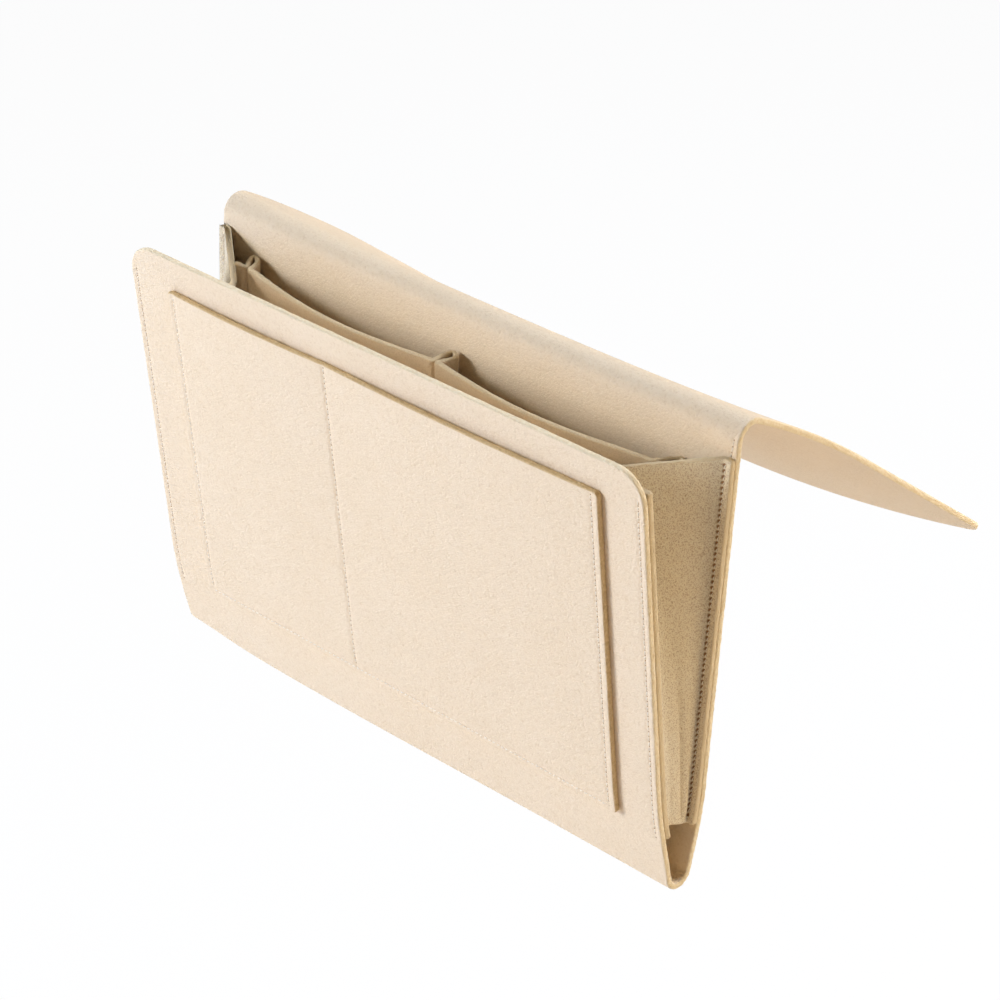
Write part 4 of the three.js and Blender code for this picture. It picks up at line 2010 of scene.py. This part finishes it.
@dataclass
class Divider:
    """The inner strip, pinched back to the back panel in three pleats.

    Args:
        caddy: The whole caddy.
        drop_left: How much lower than drawn its top edge is at the left end.
        drop_right: The same at the right end.
        foot_depth: How far its foot stands off the back panel.
        depth_power: How its depth grows towards the top.
        bow: How far its walls bow forward at the top.
        front_spacing: How far apart a pleat's layers lie in front.
        back_spacing: How far apart they lie at the fold.
        spread: How far a pleat's layers bulge apart in between.
        pinch: How much thinner each side of the felt is pressed in a pleat.
        pinch_reach: Over what depth the pressing comes in.
        corner_radius: The radius of a pleat's bends.
        shoulder: The length of straight felt beside a pleat.
        bend_steps: How many steps a bend takes.
        layer_steps: How many steps a pleat's layer takes.
        shoulder_steps: How many steps a shoulder takes.
        wall_steps: How many steps a wall takes.
        end_steps: How many steps the right end takes.
        levels: How many levels the strip is drawn at.
    """

    caddy: Caddy
    drop_left: float = 0.4
    drop_right: float = 3.0
    foot_depth: float = 6.0
    depth_power: float = 1.25
    bow: float = 7.5
    front_spacing: float = 2.5
    back_spacing: float = 5.6
    spread: float = 0.5
    pinch: float = 0.4
    pinch_reach: float = 3.0
    corner_radius: float = 1.3
    shoulder: float = 3.0
    bend_steps: int = 5
    layer_steps: int = 8
    shoulder_steps: int = 2
    wall_steps: int = 40
    end_steps: int = 3
    levels: int = 60

    def plan(self, share: float, left_end: float, right_end: float) -> Points:
        """Gives the strip's line at one level.

        Args:
            share: The level, from 0 at the foot to 1 at the top.
            left_end: Where the strip starts.
            right_end: Where it ends.

        Returns:
            The line in plan.
        """
        panel = -FELT
        back = panel - FELT_GAP * 0.5 - HALF_FELT
        half, back_half = self.front_spacing / 2, self.back_spacing / 2
        line: list[Points] = []
        for number, pleat in enumerate(self.caddy.pleats):
            depth = self.foot_depth + (pleat.depth - self.foot_depth) * share**self.depth_power
            wall, part = panel - depth, depth / pleat.depth
            fold = pleat.front + (pleat.back - pleat.front) * part
            start = left_end if number == 0 else pleat.front - half - self.shoulder
            corners = [
                np.array((start, wall)),
                np.array((pleat.front - half, wall)),
                np.array((fold - back_half, back)),
                np.array((fold + back_half, back - pleat.skew * part)),
                np.array((pleat.front + half, wall)),
                np.array((pleat.front + half + self.shoulder, wall)),
            ]
            if number > 0:
                line.extend(self.wall(line[-1], corners[0], share))
            line.extend(self.pleat(corners))
        end = np.array((right_end, line[-1][1]))
        shares = np.linspace(0, 1, self.end_steps + 1)[1:]
        line.extend(line[-1] + (end - line[-1]) * t for t in shares)
        return np.array(line)

    def pleat(self, corners: Sequence[Points]) -> list[Points]:
        """Gives one pleat's rounded line, with even steps along its layers.

        Args:
            corners: Its corners, from one shoulder to the other.

        Returns:
            The line's places.
        """
        reaches = [
            self.corner_radius / math.tan(between(before - corner, after - corner) / 2)
            for before, corner, after in zip(corners, corners[1:], corners[2:])
        ]
        line = rounded_line(corners, reaches, self.bend_steps)
        bend, layer, shoulder = (1,) * self.bend_steps, self.layer_steps, self.shoulder_steps
        fine = refine(line, (shoulder, *bend, layer, *bend, 1, *bend, layer, *bend, shoulder))
        front, back = fine[0][1], fine[:, 1].max()
        inside = np.sin(math.pi * np.clip((fine[:, 1] - front) / (back - front), 0.0, 1.0)) ** 2
        side = np.where(np.arange(len(fine)) < len(fine) / 2, -1.0, 1.0)
        fine[:, 0] += side * self.spread * inside
        return list(fine)

    def wall(self, start: Points, end: Points, share: float) -> list[Points]:
        """Gives the bowed line of one pocket wall.

        Args:
            start: Where it starts.
            end: Where it ends.
            share: The level.

        Returns:
            The places between its ends.
        """
        shares = np.linspace(0, 1, self.wall_steps + 1)[1:-1]
        line = start + (end - start) * shares[:, None]
        line[:, 1] -= self.bow * share * np.sin(math.pi * shares)
        return list(line)

    def lines(self) -> list[Points]:
        """Gives the strip's line at every level, from the foot up."""
        left_end, right_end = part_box("pleat_left")[0].x / METRES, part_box("pleat_right")[1].x / METRES
        bottom, top = self.caddy.divider_bottom + EDGE_ROUND, self.caddy.divider_top - EDGE_ROUND
        lines = []
        for share in np.linspace(0.0, 1.0, self.levels):
            plan = self.plan(share, left_end + EDGE_ROUND, right_end - EDGE_ROUND)
            along = (plan[:, 0] - left_end) / (right_end - left_end)
            drop = self.drop_left + (self.drop_right - self.drop_left) * along
            lines.append(np.column_stack((plan, UNDERSIDE + bottom + (top - drop - bottom) * share)))
        return lines

    def build(self) -> bpy.types.Object:
        """Makes the strip."""
        names = ("pleat_left", "pleat_centre", "pleat_right", "pocket_wall_left", "pocket_wall_right")
        lines = self.lines()
        top_edge = lines[-1]
        place = GridSurface(lines)
        shallowest = -FELT - min(pleat.depth for pleat in self.caddy.pleats)
        pressed = self.pinch * smooth((top_edge[:, 1] - shallowest) / self.pinch_reach)
        felt = FeltSheet("divider_felt", place.at, *place.numbers(), pressed=pressed, seed=21)
        cut = (run_length(top_edge), self.caddy.divider_top - self.caddy.divider_bottom)
        piece = self.caddy.sheet(felt, cut, "gathered", ("lower_felt",), names, Finish.DIVIDER)
        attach(piece, Body.BACK.value)
        return piece


@dataclass(frozen=True)
class Lamp:
    """A soft square studio lamp that looks at the caddy.

    Args:
        name: The lamp's name.
        place: Where it stands, in metres.
        size: Its side, in metres.
        power: Its power in watts.
        colour: Its colour.
    """

    name: str
    place: Place
    size: float
    power: float
    colour: Colour

    def light(self) -> None:
        """Puts up the lamp."""
        data = bpy.data.lights.new(self.name, "AREA")
        data.shape, data.size, data.energy, data.color = "SQUARE", self.size, self.power, self.colour
        lamp = put(self.name, data)
        lamp.location = self.place
        lamp.rotation_euler = (-Vector(self.place)).to_track_quat("-Z", "Y").to_euler()


@dataclass(frozen=True)
class Studio:
    """The camera, the lamps and the pale floor.

    Args:
        eye: The camera's place, in metres.
        target: The place that it looks at, in metres.
        roll: How far it is turned about its own axis.
        lens: Its focal length.
        film: The width of its picture.
        nearest: The distance from which it sees, in metres.
        room_colour: The colour of the room's own faint light.
        room_light: The strength of that light.
        floor_drop: How far below the caddy the floor lies, in metres.
        floor_size: The floor's side, in metres.
        floor_colour: The floor's colour.
        floor_glow: How much of the floor's white the camera sees over its shade.
        lamps: The lamps.
    """

    eye: Place = (0.8954, -0.9579, 0.6450)
    target: Place = (0.0037, 0.0244, -0.0110)
    roll: float = math.radians(3.94)
    lens: float = 114.71
    film: float = 36.0
    nearest: float = 0.05
    room_colour: Colour = (1.0, 0.86, 0.66)
    room_light: float = 0.02
    floor_drop: float = 0.42
    floor_size: float = 6.0
    floor_colour: Colour = (0.90, 0.90, 0.895)
    floor_glow: float = 0.95
    lamps: tuple[Lamp, ...] = (
        Lamp("key_lamp", (-1.35, -2.05, 1.0), 0.8, 39.0, (1.0, 1.0, 0.91)),
        Lamp("low_key_lamp", (-1.4, -2.1, 0.5), 1.4, 42.0, (0.51, 0.63, 1.0)),
        Lamp("top_lamp", (0.4, 1.6, 1.8), 1.6, 74.0, (0.80, 0.85, 0.98)),
        Lamp("side_lamp", (2.0, 1.1, 0.6), 1.0, 26.0, (1.0, 0.77, 0.45)),
        Lamp("low_lamp", (0.9, -1.1, -0.38), 0.8, 2.4, (1.0, 0.54, 0.05)),
    )

    def camera(self) -> None:
        """Sets up the camera at the photograph's place."""
        data = bpy.data.cameras.new("camera")
        data.lens, data.sensor_width, data.clip_start = self.lens, self.film, self.nearest
        camera = put("camera", data)
        look = (Vector(self.target) - Vector(self.eye)).to_track_quat("-Z", "Y").to_matrix().to_4x4()
        camera.matrix_world = Matrix.Translation(self.eye) @ look @ Matrix.Rotation(self.roll, 4, "Z")
        bpy.context.scene.camera = camera

    def world(self) -> None:
        """Fills the room with plain light, white where the camera sees it."""
        world = bpy.data.worlds.new("room")
        world.use_nodes = True
        nodes = Nodes(world.node_tree)
        light = {"Color": opaque(self.room_colour), "Strength": self.room_light}
        room = nodes.node("Background", sockets=light)
        white = nodes.node("Background", sockets={"Color": opaque(WHITE), "Strength": 1.0})
        nodes.node("OutputWorld", sockets={"Surface": nodes.mixed(nodes.seen(), room, white)})
        bpy.context.scene.world = world

    def floor(self) -> None:
        """Lays the floor well below the hanging caddy."""
        recipe = Recipe("floor_paper")
        paper = recipe.node("BsdfDiffuse", sockets={"Color": opaque(self.floor_colour)})
        glow = recipe.node("Emission", sockets={"Color": opaque(WHITE), "Strength": 1.0})
        material = recipe.finish(recipe.mixed(recipe.seen() * self.floor_glow, paper, glow))
        half, z = self.floor_size / 2, UNDERSIDE * METRES - self.floor_drop
        mesh = bpy.data.meshes.new("floor")
        corners = [(-half, -half, z), (half, -half, z), (half, half, z), (-half, half, z)]
        mesh.from_pydata(corners, [], [(0, 1, 2, 3)])
        mesh.materials.append(material)
        floor = put("floor", mesh)

    def build(self) -> None:
        """Sets up the whole studio."""
        self.camera()
        self.world()
        self.floor()
        for lamp in self.lamps:
            lamp.light()
        bpy.context.scene.view_settings.view_transform = "Standard"


def main() -> None:
    """Builds the studio and dresses the caddy, felt by felt."""
    logging.basicConfig(level=logging.INFO, format="%(name)s: %(message)s")
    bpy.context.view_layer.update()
    Studio().build()
    caddy = Caddy()
    LowerFelt(caddy).build()
    UpperFelt(caddy).build()
    FrontPocket(caddy).build()
    Gusset(caddy, "gusset_left", side=-1.0, droop=9.8, rise=1.8, hole=0.3).build()
    Gusset(caddy, "gusset_right", side=1.0, droop=12.5).build()
    Divider(caddy).build()


if __name__ == "__main__":
    main()
